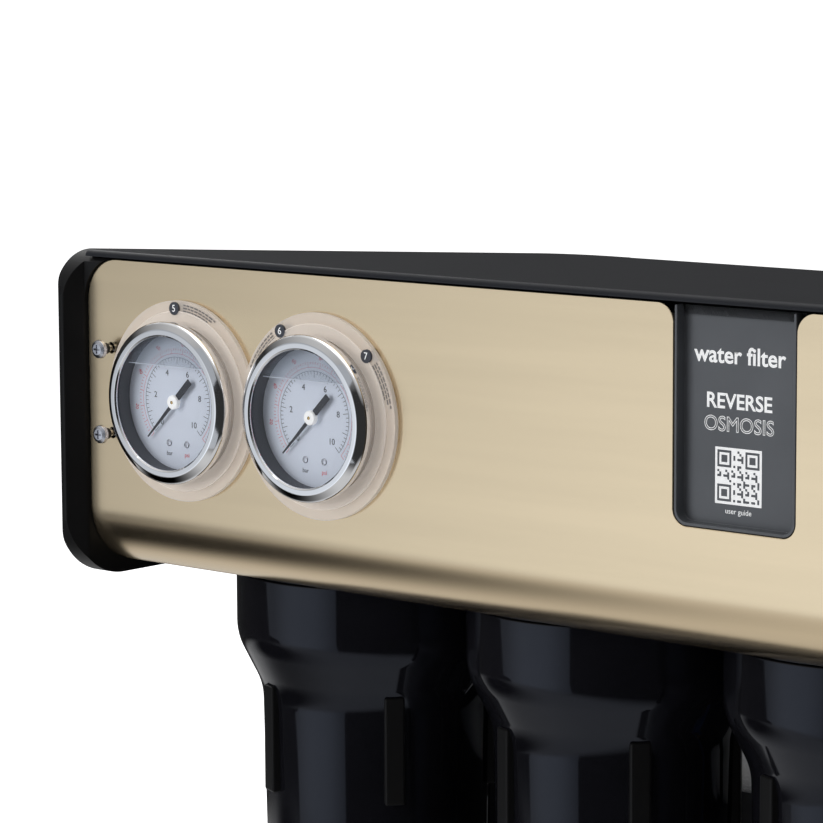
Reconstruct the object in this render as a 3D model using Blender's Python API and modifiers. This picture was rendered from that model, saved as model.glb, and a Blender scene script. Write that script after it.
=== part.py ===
"""Reverse osmosis unit with three filter bowls, two gauges and a booster pump.

Lengths below are millimetres and are turned into metres as meshes are made.
The origin is on the floor under the middle of the unit, the front faces -Y and +Z is up.
"""

import math

import bmesh
import bpy
from mathutils import Matrix, Vector

MM = 0.001
GAP = 0.3

# Envelope of the hood
HALF_WIDTH = 223.5
FRONT_Y = -176.0
BACK_Y = 179.0
CHEEK = 10.0
INNER = HALF_WIDTH - CHEEK
HOOD_BOTTOM = 335.0
TOP_Z = 478.0
TOP_SLOPE = 0.0745

# Gold front panel and the label notch in it
FACE_Y = -166.0
PANEL_T = 1.5
PANEL_TOP = 474.5
PANEL_X = INNER - GAP
ROLL_R = 28.0
ROLL_Z = 368.0
CORNER_R = 18.0
NOTCH = (102.0, 157.7, 391.0)
LABEL_RECESS = 5.0

# Gauges
GAUGE_X = (-155.5, -77.0)
GAUGE_Z = 417.0
GAUGE_SIDE = ("left", "right")
RING_R = 42.5
SCREW_X = -199.4
SCREW_Z = (436.4, 399.7)
CASE_R = 31.7
BEZEL_R = 34.35

# Filter housings
BOWL_X = (-132.5, 0.0, 132.5)
BOWL_Y = -71.0
COLLAR_R = 61.6
RIM_Z = 337.0
RIB_ANGLES = [-40.0 + 72.0 * k for k in range(5)]

# Chassis
SIDE_X = 190.0
TRAY_X = 213.0
TRAY_Z = 15.5
PLATE_Y = 168.5
RAIL_Z = 402.3

# Membrane vessel, pump and side fittings
VESSEL_Y = 112.0
VESSEL_Z = 255.0
VESSEL_INLET_X = -140.0
PUMP_Y = 88.0
PUMP_Z = 82.0
PUMP_PORTS = (-138.0, -112.0)
FEED_Y = 45.0
FEED_Z = 150.0
PERMEATE_Y = 112.0
DRAIN_Y = 88.0
TUBE_R = 4.8

PART_NAME = "reverse_osmosis_unit"

for old in list(bpy.context.scene.objects):
    bpy.data.objects.remove(old, do_unlink=True)
parts = bpy.data.collections.new(PART_NAME)
bpy.context.scene.collection.children.link(parts)


def material(name, colour, metallic, roughness):
    made = bpy.data.materials.new(name)
    made.use_nodes = True
    shader = made.node_tree.nodes["Principled BSDF"]
    shader.inputs["Base Color"].default_value = (*colour, 1.0)
    shader.inputs["Metallic"].default_value = metallic
    shader.inputs["Roughness"].default_value = roughness
    return made


BLACK_PAINT = material("black_paint", (0.02, 0.02, 0.023), 0.0, 0.35)
BLACK_PLASTIC = material("black_plastic", (0.012, 0.012, 0.015), 0.0, 0.12)
MOULDED = material("moulded_cheek", (0.02, 0.02, 0.02), 0.0, 0.4)
GOLD = material("gold_steel", (0.62, 0.5, 0.34), 1.0, 0.35)
LABEL = material("label_plate", (0.06, 0.065, 0.075), 0.0, 0.45)
CHROME = material("chrome", (0.8, 0.8, 0.82), 1.0, 0.08)
DIAL = material("dial_white", (0.85, 0.87, 0.9), 0.0, 0.4)
NEEDLE = material("needle_black", (0.02, 0.02, 0.02), 0.0, 0.4)
GLASS = material("clear_glass", (0.9, 0.95, 1.0), 0.0, 0.03)
ACRYLIC = material("ring_acrylic", (0.8, 0.78, 0.74), 0.0, 0.2)
BRASS = material("brass", (0.7, 0.5, 0.22), 1.0, 0.25)
ZINC = material("zinc_screw", (0.7, 0.7, 0.72), 1.0, 0.3)
RUBBER = material("rubber", (0.03, 0.03, 0.03), 0.0, 0.8)
FILTER = material("filter_media", (0.85, 0.85, 0.82), 0.0, 0.8)
VESSEL = material("vessel_white", (0.85, 0.86, 0.87), 0.0, 0.3)
MEMBRANE = material("membrane_wrap", (0.16, 0.32, 0.5), 0.0, 0.6)
MOTOR = material("motor_paint", (0.1, 0.11, 0.12), 0.0, 0.4)
FAN = material("fan_plastic", (0.08, 0.08, 0.09), 0.0, 0.5)
HANDLE = material("handle_blue", (0.03, 0.14, 0.45), 0.0, 0.4)
INLET = material("inlet_plastic", (0.03, 0.03, 0.03), 0.0, 0.45)
ROCKER = material("rocker_red", (0.6, 0.03, 0.02), 0.0, 0.35)
TUBE = material("tube_white", (0.85, 0.85, 0.86), 0.0, 0.4)
TUBE_BLUE = material("tube_blue", (0.06, 0.2, 0.6), 0.0, 0.4)


# Mesh helpers ---------------------------------------------------------------


AXES = {
    "X": Matrix(((0, 0, 1, 0), (1, 0, 0, 0), (0, 1, 0, 0), (0, 0, 0, 1))),
    "Y": Matrix(((1, 0, 0, 0), (0, 0, 1, 0), (0, 1, 0, 0), (0, 0, 0, 1))),
    "Z": Matrix.Identity(4),
}


def link(name, data):
    made = bpy.data.objects.new(name, data)
    bpy.context.scene.collection.objects.link(made)
    return made


def from_bmesh(name, bm):
    bmesh.ops.remove_doubles(bm, verts=bm.verts, dist=1e-6)
    bmesh.ops.recalc_face_normals(bm, faces=bm.faces)
    mesh = bpy.data.meshes.new(name)
    bm.to_mesh(mesh)
    bm.free()
    return link(name, mesh)


def baked(holder):
    """The object's mesh with its modifiers or its curve worked out."""
    graph = bpy.context.evaluated_depsgraph_get()
    return bpy.data.meshes.new_from_object(holder.evaluated_get(graph))


def settled(holder, spin, flatten=False):
    """Replace a curve or a turned profile by its welded mesh, turned by a matrix."""
    name = holder.name
    bm = bmesh.new()
    bm.from_mesh(baked(holder))
    bpy.data.objects.remove(holder, do_unlink=True)
    bmesh.ops.transform(bm, matrix=spin, verts=bm.verts)
    if flatten:
        bmesh.ops.remove_doubles(bm, verts=bm.verts, dist=1e-6)
        flat = math.radians(0.05)
        bmesh.ops.dissolve_limit(bm, angle_limit=flat, verts=bm.verts, edges=bm.edges)
    return from_bmesh(name, bm)


def rounded(corners, seg=5):
    """Closed outline from (u, v, radius) corners, each corner filleted."""
    outline = []
    count = len(corners)
    for i, (u, v, radius) in enumerate(corners):
        here = Vector((u, v))
        if radius <= 0:
            outline.append((u, v))
            continue
        back = (Vector(corners[i - 1][:2]) - here).normalized()
        ahead = (Vector(corners[(i + 1) % count][:2]) - here).normalized()
        half = back.angle(ahead) / 2
        centre = here + (back + ahead).normalized() * (radius / math.sin(half))
        start = here + back * (radius / math.tan(half)) - centre
        end = here + ahead * (radius / math.tan(half)) - centre
        sweep = start.angle_signed(end)
        for k in range(seg + 1):
            turned = start.copy()
            turned.rotate(Matrix.Rotation(-sweep * k / seg, 2))
            outline.append(tuple(centre + turned))
    return outline


def arc(u, v, radius, start, end, seg):
    """Points on a circle in the (u, v) plane from one angle to another, in degrees."""
    steps = [math.radians(start + (end - start) * k / seg) for k in range(seg + 1)]
    return [(u + radius * math.cos(a), v + radius * math.sin(a)) for a in steps]


def prism(name, outline, axis, low, high):
    """Outline in the plane across the axis, pushed from low to high along it."""
    curve = bpy.data.curves.new(name, "CURVE")
    curve.dimensions = "2D"
    curve.fill_mode = "BOTH"
    curve.extrude = (high - low) / 2 * MM
    spline = curve.splines.new("POLY")
    spline.use_cyclic_u = True
    spline.points.add(len(outline) - 1)
    for point, (u, v) in zip(spline.points, outline):
        point.co = (u * MM, v * MM, 0, 1)
    lift = Matrix.Translation((0, 0, (low + high) / 2 * MM))
    return settled(link(name, curve), AXES[axis] @ lift, flatten=True)


def block(name, x, y, z):
    bm = bmesh.new()
    size = [(high - low) * MM for low, high in (x, y, z)]
    centre = [(high + low) / 2 * MM for low, high in (x, y, z)]
    bmesh.ops.create_cube(bm, size=1.0)
    bmesh.ops.scale(bm, vec=size, verts=bm.verts)
    bmesh.ops.translate(bm, vec=centre, verts=bm.verts)
    return from_bmesh(name, bm)


def lathe(name, profile, axis, centre, seg=24, ring=False):
    """Profile of (radius, height) turned about an axis through centre.

    A ring profile is a closed loop off the axis, any other one starts and ends on the axis.
    """
    edges = [(i, i + 1) for i in range(len(profile) - 1)]
    if ring:
        edges.append((len(profile) - 1, 0))
    mesh = bpy.data.meshes.new(name)
    mesh.from_pydata([(radius * MM, 0, height * MM) for radius, height in profile], edges, [])
    holder = link(name, mesh)
    turn = holder.modifiers.new("turn", "SCREW")
    turn.steps = seg
    turn.render_steps = seg
    turn.use_merge_vertices = True
    turn.merge_threshold = 1e-6
    half_step = Matrix.Rotation(math.pi / seg, 4, "Z")
    return settled(holder, Matrix.Translation(Vector(centre) * MM) @ AXES[axis] @ half_step)


def rod(name, axis, centre, radius, low, high, seg=16):
    """Plain cylinder from low to high along an axis through centre."""
    bm = bmesh.new()
    long = (high - low) * MM
    size = {"radius1": radius * MM, "radius2": radius * MM, "depth": long}
    bmesh.ops.create_cone(bm, cap_ends=True, segments=seg, **size)
    half_step = Matrix.Rotation(math.pi / seg - math.pi / 2, 4, "Z")
    lift = Matrix.Translation((0, 0, (low + high) / 2 * MM))
    spin = Matrix.Translation(Vector(centre) * MM) @ AXES[axis] @ lift @ half_step
    bmesh.ops.transform(bm, matrix=spin, verts=bm.verts)
    return from_bmesh(name, bm)


def combine(body, tool, operation, solver="EXACT"):
    change = body.modifiers.new("combine", "BOOLEAN")
    change.operation = operation
    change.solver = solver
    change.object = tool
    mesh = baked(body)
    body.modifiers.clear()
    body.data = mesh
    bpy.data.objects.remove(tool, do_unlink=True)
    return body


def cut(body, *tools, solver="EXACT"):
    for tool in tools:
        combine(body, tool, "DIFFERENCE", solver)
    return body


def add(body, *tools):
    for tool in tools:
        combine(body, tool, "UNION")
    return body


def common(body, tool):
    return combine(body, tool, "INTERSECT")


def merged(name, pieces):
    """One mesh made of several pieces that don't touch, to use as a single cutter."""
    bm = bmesh.new()
    for piece in pieces:
        bm.from_mesh(piece.data)
        bpy.data.objects.remove(piece, do_unlink=True)
    return from_bmesh(name, bm)


def tube(name, points, radius):
    curve = bpy.data.curves.new(name, "CURVE")
    curve.dimensions = "3D"
    curve.bevel_depth = radius * MM
    curve.bevel_resolution = 1
    curve.use_fill_caps = True
    spline = curve.splines.new("POLY")
    spline.points.add(len(points) - 1)
    for point, spot in zip(spline.points, points):
        point.co = (*(Vector(spot) * MM), 1.0)
    return settled(link(name, curve), Matrix.Identity(4))


def bend(points, radius, seg=3):
    """A 3-D path with its inner corners rounded."""
    path = [Vector(points[0])]
    for before, here, after in zip(points, points[1:], points[2:]):
        here = Vector(here)
        back = (Vector(before) - here).normalized()
        ahead = (Vector(after) - here).normalized()
        half = back.angle(ahead) / 2
        reach = radius / math.tan(half)
        centre = here + (back + ahead).normalized() * (radius / math.sin(half))
        start = here + back * reach - centre
        end = here + ahead * reach - centre
        turn = start.cross(end).normalized()
        sweep = start.angle(end)
        for k in range(seg + 1):
            path.append(centre + Matrix.Rotation(sweep * k / seg, 3, turn) @ start)
    path.append(Vector(points[-1]))
    return path


def finish(body, paint, pivot=(0, 0, 0), angle=40):
    """Put a finished body in the part's collection, with its origin on its pivot."""
    bm = bmesh.new()
    bm.from_mesh(body.data)
    bmesh.ops.remove_doubles(bm, verts=bm.verts, dist=2e-6)
    bmesh.ops.dissolve_degenerate(bm, edges=bm.edges, dist=2e-6)
    bmesh.ops.recalc_face_normals(bm, faces=bm.faces)
    if bm.calc_volume(signed=True) < 0:
        bmesh.ops.reverse_faces(bm, faces=bm.faces)
    bmesh.ops.translate(bm, verts=bm.verts, vec=-Vector(pivot) * MM)
    bm.to_mesh(body.data)
    bm.free()
    body.location = Vector(pivot) * MM
    body.data.materials.clear()
    body.data.materials.append(paint)
    body.data.shade_smooth()
    body.data.set_sharp_from_angle(angle=math.radians(angle))
    bpy.context.scene.collection.objects.unlink(body)
    parts.objects.link(body)
    return body


def top_at(y):
    """Height of the sloping top of the hood at a depth."""
    return TOP_Z - TOP_SLOPE * (y - FACE_Y)


# Chassis --------------------------------------------------------------------


def make_tray():
    outline = rounded(
        [
            (-TRAY_X, -150, 8),
            (TRAY_X, -150, 8),
            (TRAY_X, 166.2, 8),
            (-TRAY_X, 166.2, 8),
        ],
        3,
    )
    inside = rounded(
        [
            (-TRAY_X + 1.5, -148.5, 6.5),
            (TRAY_X - 1.5, -148.5, 6.5),
            (TRAY_X - 1.5, 164.7, 6.5),
            (-TRAY_X + 1.5, 164.7, 6.5),
        ],
        3,
    )
    tray = prism("base_tray", outline, "Z", TRAY_Z, TRAY_Z + 16)
    cut(tray, prism("well", inside, "Z", TRAY_Z + 1.5, TRAY_Z + 20))
    slots = []
    for x in (-120, -60, 0, 60, 120):
        slot = rounded([(x - 18, -74, 3), (x + 18, -74, 3), (x + 18, -68, 3), (x - 18, -68, 3)], 3)
        slots.append(prism("slot", slot, "Z", TRAY_Z - 5, TRAY_Z + 5))
    cut(tray, merged("slots", slots))
    finish(tray, BLACK_PAINT)


def make_feet():
    spots = [(-185, -125), (185, -125), (-185, 140), (185, 140)]
    for number, (x, y) in enumerate(spots, 1):
        profile = [(0, 4), (5, 4), (5, 0), (13, 0), (15, 1.5), (13.5, 15.2), (0, 15.2)]
        foot = lathe(f"foot_{number}", profile, "Z", (x, y, 0), 16)
        finish(foot, RUBBER, (x, y, 0))


def make_back_plate():
    plate = prism(
        "back_plate",
        rounded([(-198, 17.5, 6), (198, 17.5, 6), (198, 440, 6), (-198, 440, 6)], 3),
        "Y",
        PLATE_Y - 2,
        PLATE_Y,
    )
    holes = []
    for x in (-130, 130):
        keyhole = rod("keyhole", "Y", (x, 0, 395), 5.5, 150, 190, 16)
        holes.append(add(keyhole, block("neck", (x - 2.8, x + 2.8), (150, 190), (395, 411))))
    for z in range(50, 130, 20):
        slot = rounded([(-60, z, 3), (60, z, 3), (60, z + 6, 3), (-60, z + 6, 3)], 2)
        holes.append(prism("louvre", slot, "Y", 150, 190))
    cut(plate, merged("holes", holes))
    finish(plate, BLACK_PAINT)


def make_side_panel(side, name):
    low, high = sorted((side * SIDE_X, side * (SIDE_X - 2)))
    outline = rounded(
        [
            (14, 17.5, 4),
            (164.4, 17.5, 0),
            (164.4, 440, 4),
            (-108, 440, 6),
            (-108, 393, 6),
            (14, 393, 14),
        ],
        4,
    )
    panel = prism(name, outline, "X", low, high)
    window = rounded([(40, 295, 10), (140, 295, 10), (140, 370, 10), (40, 370, 10)], 3)
    tools = [prism("window", window, "X", low - 5, high + 5)]
    if side > 0:
        for y, z in ((FEED_Y, FEED_Z), (DRAIN_Y, VESSEL_Z), (PERMEATE_Y, VESSEL_Z)):
            tools.append(rod("port", "X", (0, y, z), 8.5, low - 5, high + 5))
    else:
        tools.append(block("socket", (low - 5, high + 5), (85.5, 114.5), (124.5, 175.5)))
    cut(panel, merged("openings", tools))
    finish(panel, BLACK_PAINT)


def make_rail():
    outline = [
        (-111, RAIL_Z),
        (-31, RAIL_Z),
        (-31, RAIL_Z + 24),
        (-33, RAIL_Z + 24),
        (-33, RAIL_Z + 2),
        (-109, RAIL_Z + 2),
        (-109, RAIL_Z + 24),
        (-111, RAIL_Z + 24),
    ]
    rail = prism("head_rail", outline, "X", -SIDE_X + 2 + GAP, SIDE_X - 2 - GAP)
    holes = []
    for x in BOWL_X:
        for dx in (-22, 22):
            holes.append(rod("bolt", "Z", (x + dx, BOWL_Y, 0), 3.3, RAIL_Z - 5, RAIL_Z + 8, 12))
    for x in (-66, 66):
        slot = rounded(
            [
                (x - 20, BOWL_Y - 8, 7),
                (x + 20, BOWL_Y - 8, 7),
                (x + 20, BOWL_Y + 8, 7),
                (x - 20, BOWL_Y + 8, 7),
            ],
            3,
        )
        holes.append(prism("slot", slot, "Z", RAIL_Z - 5, RAIL_Z + 8))
    cut(rail, merged("holes", holes))
    finish(rail, BLACK_PAINT)


# Hood -----------------------------------------------------------------------


def make_cheek(side, name):
    outer = side * HALF_WIDTH
    inner = side * INNER
    lip = side * 186.0
    plan = rounded(
        [
            (outer, FRONT_Y, 3.5),
            (outer, BACK_Y, 25),
            (lip, BACK_Y, 0),
            (lip, BACK_Y - CHEEK, 0),
            (inner, BACK_Y - CHEEK, 15),
            (inner, FRONT_Y, 2),
        ],
        5,
    )
    cheek = prism(name, plan, "Z", HOOD_BOTTOM - 10, TOP_Z + 10)
    side_view = rounded(
        [
            (FRONT_Y, HOOD_BOTTOM, 29),
            (BACK_Y + 5, HOOD_BOTTOM, 0),
            (BACK_Y + 5, top_at(BACK_Y + 5), 0),
            (FRONT_Y, top_at(FRONT_Y), 21),
        ],
        8,
    )
    common(cheek, prism("side_view", side_view, "X", -300, 300))
    # Black corner web that follows the rounded top corner of the gold panel
    centre_x = side * (INNER - CORNER_R)
    centre_z = PANEL_TOP + GAP - CORNER_R
    start, end = (90, 0) if side > 0 else (90, 180)
    web = arc(centre_x, centre_z, CORNER_R, start, end, 7)
    web += [(inner + side * 2, centre_z), (inner + side * 2, PANEL_TOP + GAP)]
    web = prism("web", web, "Y", FACE_Y - 5, FACE_Y + 2)
    common(web, prism("side_view", side_view, "X", -300, 300))
    add(cheek, web)
    finish(cheek, MOULDED)


def make_cover():
    back_lip = top_at(BACK_Y) - 15
    outline = rounded(
        [
            (FACE_Y - 1, PANEL_TOP + 0.8, 0),
            (FACE_Y - 1, top_at(FACE_Y - 1), 2.6),
            (BACK_Y, top_at(BACK_Y), 3),
            (BACK_Y, back_lip, 0),
            (BACK_Y - 2, back_lip, 0),
            (BACK_Y - 2, top_at(BACK_Y - 2) - 2, 1),
            (FACE_Y + 1, top_at(FACE_Y + 1) - 2, 0.6),
            (FACE_Y + 1, PANEL_TOP + 0.8, 0),
        ],
        4,
    )
    cover = prism("top_cover", outline, "X", -PANEL_X, PANEL_X)
    back = BACK_Y - CHEEK - GAP
    lip = 186.0 - GAP
    plan = rounded(
        [
            (-PANEL_X - 5, FRONT_Y, 0),
            (PANEL_X + 5, FRONT_Y, 0),
            (PANEL_X + 5, back - 20, 0),
            (PANEL_X, back - 20, 0),
            (PANEL_X, back, 14.7),
            (lip, back, 0),
            (lip, BACK_Y + 5, 0),
            (-lip, BACK_Y + 5, 0),
            (-lip, back, 0),
            (-PANEL_X, back, 14.7),
            (-PANEL_X, back - 20, 0),
            (-PANEL_X - 5, back - 20, 0),
        ],
        5,
    )
    common(cover, prism("plan", plan, "Z", 400, 520))
    finish(cover, BLACK_PAINT)


def make_front_panel():
    back_y = FACE_Y + ROLL_R
    low_z = ROLL_Z - ROLL_R
    section = [(FACE_Y, PANEL_TOP)]
    section += arc(back_y, ROLL_Z, ROLL_R, 180, 270, 10)
    section += [(back_y + 3.5, low_z), (back_y + 3.5, low_z + PANEL_T)]
    section += arc(back_y, ROLL_Z, ROLL_R - PANEL_T, 270, 180, 10)
    section += [(FACE_Y + PANEL_T, PANEL_TOP)]
    panel = prism("front_panel", section, "X", -PANEL_X, PANEL_X)
    left, right, bottom = NOTCH
    front = rounded(
        [
            (-PANEL_X, low_z - 10, 0),
            (PANEL_X, low_z - 10, 0),
            (PANEL_X, PANEL_TOP, CORNER_R - GAP),
            (right, PANEL_TOP, 8),
            (right, bottom, 6),
            (left, bottom, 6),
            (left, PANEL_TOP, 8),
            (-PANEL_X, PANEL_TOP, CORNER_R - GAP),
        ],
        6,
    )
    common(panel, prism("front", front, "Y", FACE_Y - 10, FACE_Y + 60))
    holes = []
    for x in GAUGE_X:
        holes.append(rod("gauge", "Y", (x, 0, GAUGE_Z), CASE_R + 0.6, FACE_Y - 5, FACE_Y + 5, 24))
    for z in SCREW_Z:
        holes.append(rod("screw", "Y", (SCREW_X, 0, z), 2.3, FACE_Y - 5, FACE_Y + 5, 12))
    cut(panel, merged("holes", holes))
    finish(panel, GOLD)


def make_label():
    left, right, bottom = NOTCH
    left += GAP
    right -= GAP
    bottom += GAP
    top = PANEL_TOP - 0.6
    floor_y = FACE_Y + LABEL_RECESS
    outline = rounded([(left, top, 0), (left, bottom, 5.7), (right, bottom, 5.7), (right, top, 0)], 5)
    inside = rounded(
        [
            (left + 1.2, top + 5, 0),
            (left + 1.2, bottom + 1.2, 4.5),
            (right - 1.2, bottom + 1.2, 4.5),
            (right - 1.2, top + 5, 0),
        ],
        5,
    )
    tray = prism("label_plate", outline, "Y", FACE_Y + 0.2, floor_y + 2)
    cut(tray, prism("well", inside, "Y", FACE_Y - 5, floor_y))
    # The plate bends back along its top edge, and side flanges reach behind the panel
    nose = [(floor_y - 1, top + 1), (floor_y + 0.01, top - 4)]
    nose += [(floor_y + 1.2, top - 1.2), (floor_y + 3, top + 1)]
    cut(tray, prism("nose", nose, "X", left - 5, right + 5))
    flange_y = FACE_Y + PANEL_T + GAP
    for low, high in ((left - 8, left + 0.6), (right - 0.6, right + 8)):
        add(tray, block("flange", (low, high), (flange_y, flange_y + 1.5), (bottom + 8, top - 12)))
    finish(tray, LABEL)


def make_ring_plate():
    back = FACE_Y - GAP
    middle = (GAUGE_X[0] + GAUGE_X[1]) / 2
    reach = (GAUGE_X[1] - GAUGE_X[0]) / 2
    cusp = math.degrees(math.acos(reach / RING_R))
    outline = arc(middle - reach, GAUGE_Z, RING_R, cusp, 360 - cusp, 30)
    outline += arc(middle + reach, GAUGE_Z, RING_R, cusp - 180, 180 - cusp, 30)[1:-1]
    plate = prism("ring_plate", outline, "Y", back - 2.2, back)
    for x in GAUGE_X:
        profile = [(0, back - 1), (38.2, back - 1), (38.2, back - 2.7), (37.8, back - 3), (0, back - 3)]
        add(plate, lathe("step", profile, "Y", (x, 0, GAUGE_Z), 32))
    for x in GAUGE_X:
        cut(plate, rod("hole", "Y", (x, 0, GAUGE_Z), CASE_R + 0.6, back - 10, back + 10, 24))
    finish(plate, ACRYLIC)


def make_panel_screws():
    for name, z in zip(("upper", "lower"), SCREW_Z):
        head = FACE_Y - 8.6
        profile = [
            (0, head),
            (2.4, head),
            (3.5, head + 0.8),
            (3.7, head + 2.6),
            (2.9, head + 2.6),
            (2.9, FACE_Y - GAP),
            (2.0, FACE_Y - GAP),
            (2.0, FACE_Y + 8),
            (0, FACE_Y + 8),
        ]
        screw = lathe(f"panel_screw_{name}", profile, "Y", (SCREW_X, 0, z), 14)
        for wide, tall in ((1.8, 0.45), (0.45, 1.8)):
            across = (SCREW_X - wide, SCREW_X + wide)
            cut(screw, block("slot", across, (head - 1, head + 1.2), (z - tall, z + tall)))
        finish(screw, ZINC, (SCREW_X, FACE_Y, z))


# Gauges ---------------------------------------------------------------------


def make_gauge(side, x):
    spot = (x, 0, GAUGE_Z)
    pivot = (x, FACE_Y, GAUGE_Z)
    lip = FACE_Y - 9.7
    profile = [
        (30.8, lip),
        (CASE_R, lip + 0.8),
        (CASE_R, -135),
        (8, -135),
        (8, -133),
        (5.2, -133),
        (5.2, -137),
        (30.0, -137),
        (30.0, lip),
    ]
    case = lathe(f"gauge_case_{side}", profile, "Y", spot, ring=True)
    finish(case, CHROME, pivot)
    profile = [
        (28.2, FACE_Y - 12.6),
        (30.5, FACE_Y - 13.0),
        (33.0, FACE_Y - 12.2),
        (BEZEL_R, FACE_Y - 9.6),
        (33.4, FACE_Y - 6.4),
        (CASE_R + GAP, FACE_Y - 6.4),
        (CASE_R + GAP, lip - GAP),
        (30.8, lip - GAP),
        (30.8, FACE_Y - 11.8),
        (28.2, FACE_Y - 11.8),
    ]
    bezel = lathe(f"gauge_bezel_{side}", profile, "Y", spot, ring=True)
    finish(bezel, CHROME, pivot)
    glass = rod(f"gauge_glass_{side}", "Y", spot, 30.4, FACE_Y - 11.5, lip - GAP, 24)
    finish(glass, GLASS, pivot)
    profile = [(1.6, -169.8), (29.0, -169.8), (29.0, -168.8), (1.6, -168.8)]
    dial = lathe(f"gauge_dial_{side}", profile, "Y", spot, ring=True)
    finish(dial, DIAL, pivot)
    needle = make_needle(f"gauge_needle_{side}", x)
    finish(needle, NEEDLE, (x, FACE_Y - 4.5, GAUGE_Z), 30)
    profile = [
        (0, -141),
        (4.8, -141),
        (4.8, -132.7),
        (7.5, -132.7),
        (7.5, -127),
        (6.5, -126.5),
        (6.5, -119),
        (3.0, -119),
        (3.0, -130),
        (0, -130),
    ]
    stem = lathe(f"gauge_stem_{side}", profile, "Y", spot, 12)
    finish(stem, BRASS, pivot)


def make_needle(name, x):
    """Pointer at the zero mark, low on the left, with a counterweight tail."""
    outline = [(0.9, 2.4), (0.35, 20.5), (-0.35, 20.5), (-0.9, 2.4), (-0.9, -3), (-1.7, -4.5)]
    outline += [(-1.9, -10.5), (1.9, -10.5), (1.7, -4.5), (0.9, -3)]
    tilt = math.radians(-135)
    turned = []
    for u, v in outline:
        turned.append(
            (
                x + u * math.cos(tilt) + v * math.sin(tilt),
                GAUGE_Z - u * math.sin(tilt) + v * math.cos(tilt),
            )
        )
    needle = prism(name, turned, "Y", -172.4, -171.6)
    profile = [(0, -173.4), (3.0, -173.2), (3.0, -171.2), (1.2, -171.2), (1.2, -168.2), (0, -168.2)]
    return add(needle, lathe("hub", profile, "Y", (x, 0, GAUGE_Z), 12))


# Filter housings ------------------------------------------------------------


def make_head(number, x):
    spot = (x, BOWL_Y, 0)
    skirt = RIM_Z + GAP
    profile = [
        (0, 402),
        (40, 402),
        (40, 393),
        (52, 388),
        (59.5, 379),
        (COLLAR_R, 370),
        (COLLAR_R, skirt),
        (55.2, skirt),
        (55.2, 360),
        (46, 360),
        (46, 383),
        (16, 383),
        (14, 338.3),
        (9.5, 338.3),
        (9.5, 380),
        (0, 380),
    ]
    head = lathe(f"filter_head_{number}", profile, "Z", spot, 24)
    port = (0, BOWL_Y, 371)
    for low, high in ((x - 65.9, x - 57), (x + 57, x + 65.9)):
        add(head, rod("boss", "X", port, 15, low, high, 14))
    add(head, rod("runner", "X", port, 7.5, x + 11.5, x + 53, 10))
    for low, high in ((x - 70, x - 43), (x + 51.3, x + 70)):
        cut(head, rod("socket", "X", port, 10.6, low, high, 14), solver="MANIFOLD")
    cut(head, rod("outlet", "X", port, 4.5, x, x + 60, 10), solver="MANIFOLD")
    finish(head, BLACK_PLASTIC, spot)


def make_bowl(number, x):
    profile = [
        (0, 77),
        (34, 79),
        (46.9, 96),
        (50.2, 281),
        (50.6, 288),
        (52.2, 293.5),
        (57.9, 301),
        (60.6, 307),
        (COLLAR_R, 313),
        (COLLAR_R, RIM_Z),
        (54.5, RIM_Z),
        (54.5, 357),
        (50.5, 357),
        (50.5, 312),
        (47.0, 286),
        (43.6, 96),
        (32, 82.5),
        (14, 82),
        (14, 86.2),
        (0, 86.2),
    ]
    bowl = lathe(f"filter_bowl_{number}", profile, "Z", (x, BOWL_Y, 0), 24)
    ribs = []
    for angle in RIB_ANGLES:
        outline = [(47.8, -4.6), (53.2, -4.3), (53.2, 4.3), (47.8, 4.6)]
        rib = prism("rib", outline, "Z", 243, 288)
        turn = Matrix.Rotation(math.radians(angle), 4, "Z")
        rib.data.transform(Matrix.Translation(Vector((x, BOWL_Y, 0)) * MM) @ turn)
        ribs.append(rib)
    add(bowl, merged("ribs", ribs))
    finish(bowl, BLACK_PLASTIC, (x, BOWL_Y, 0))


def make_cartridge(number, x):
    profile = [
        (14.3, 86.5),
        (32, 86.5),
        (32, 94),
        (30.5, 95),
        (30.5, 329.5),
        (32, 330.5),
        (32, 338),
        (14.3, 338),
    ]
    cartridge = lathe(f"filter_cartridge_{number}", profile, "Z", (x, BOWL_Y, 0), 20, ring=True)
    finish(cartridge, FILTER, (x, BOWL_Y, 0))


def make_nipple(name, x):
    profile = [(10.3, x - 14.5), (10.3, x + 14.5), (7.5, x + 14.5), (7.5, x - 14.5)]
    nipple = lathe(name, profile, "X", (0, BOWL_Y, 371), 16, ring=True)
    finish(nipple, BRASS)


# Membrane stage -------------------------------------------------------------


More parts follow.
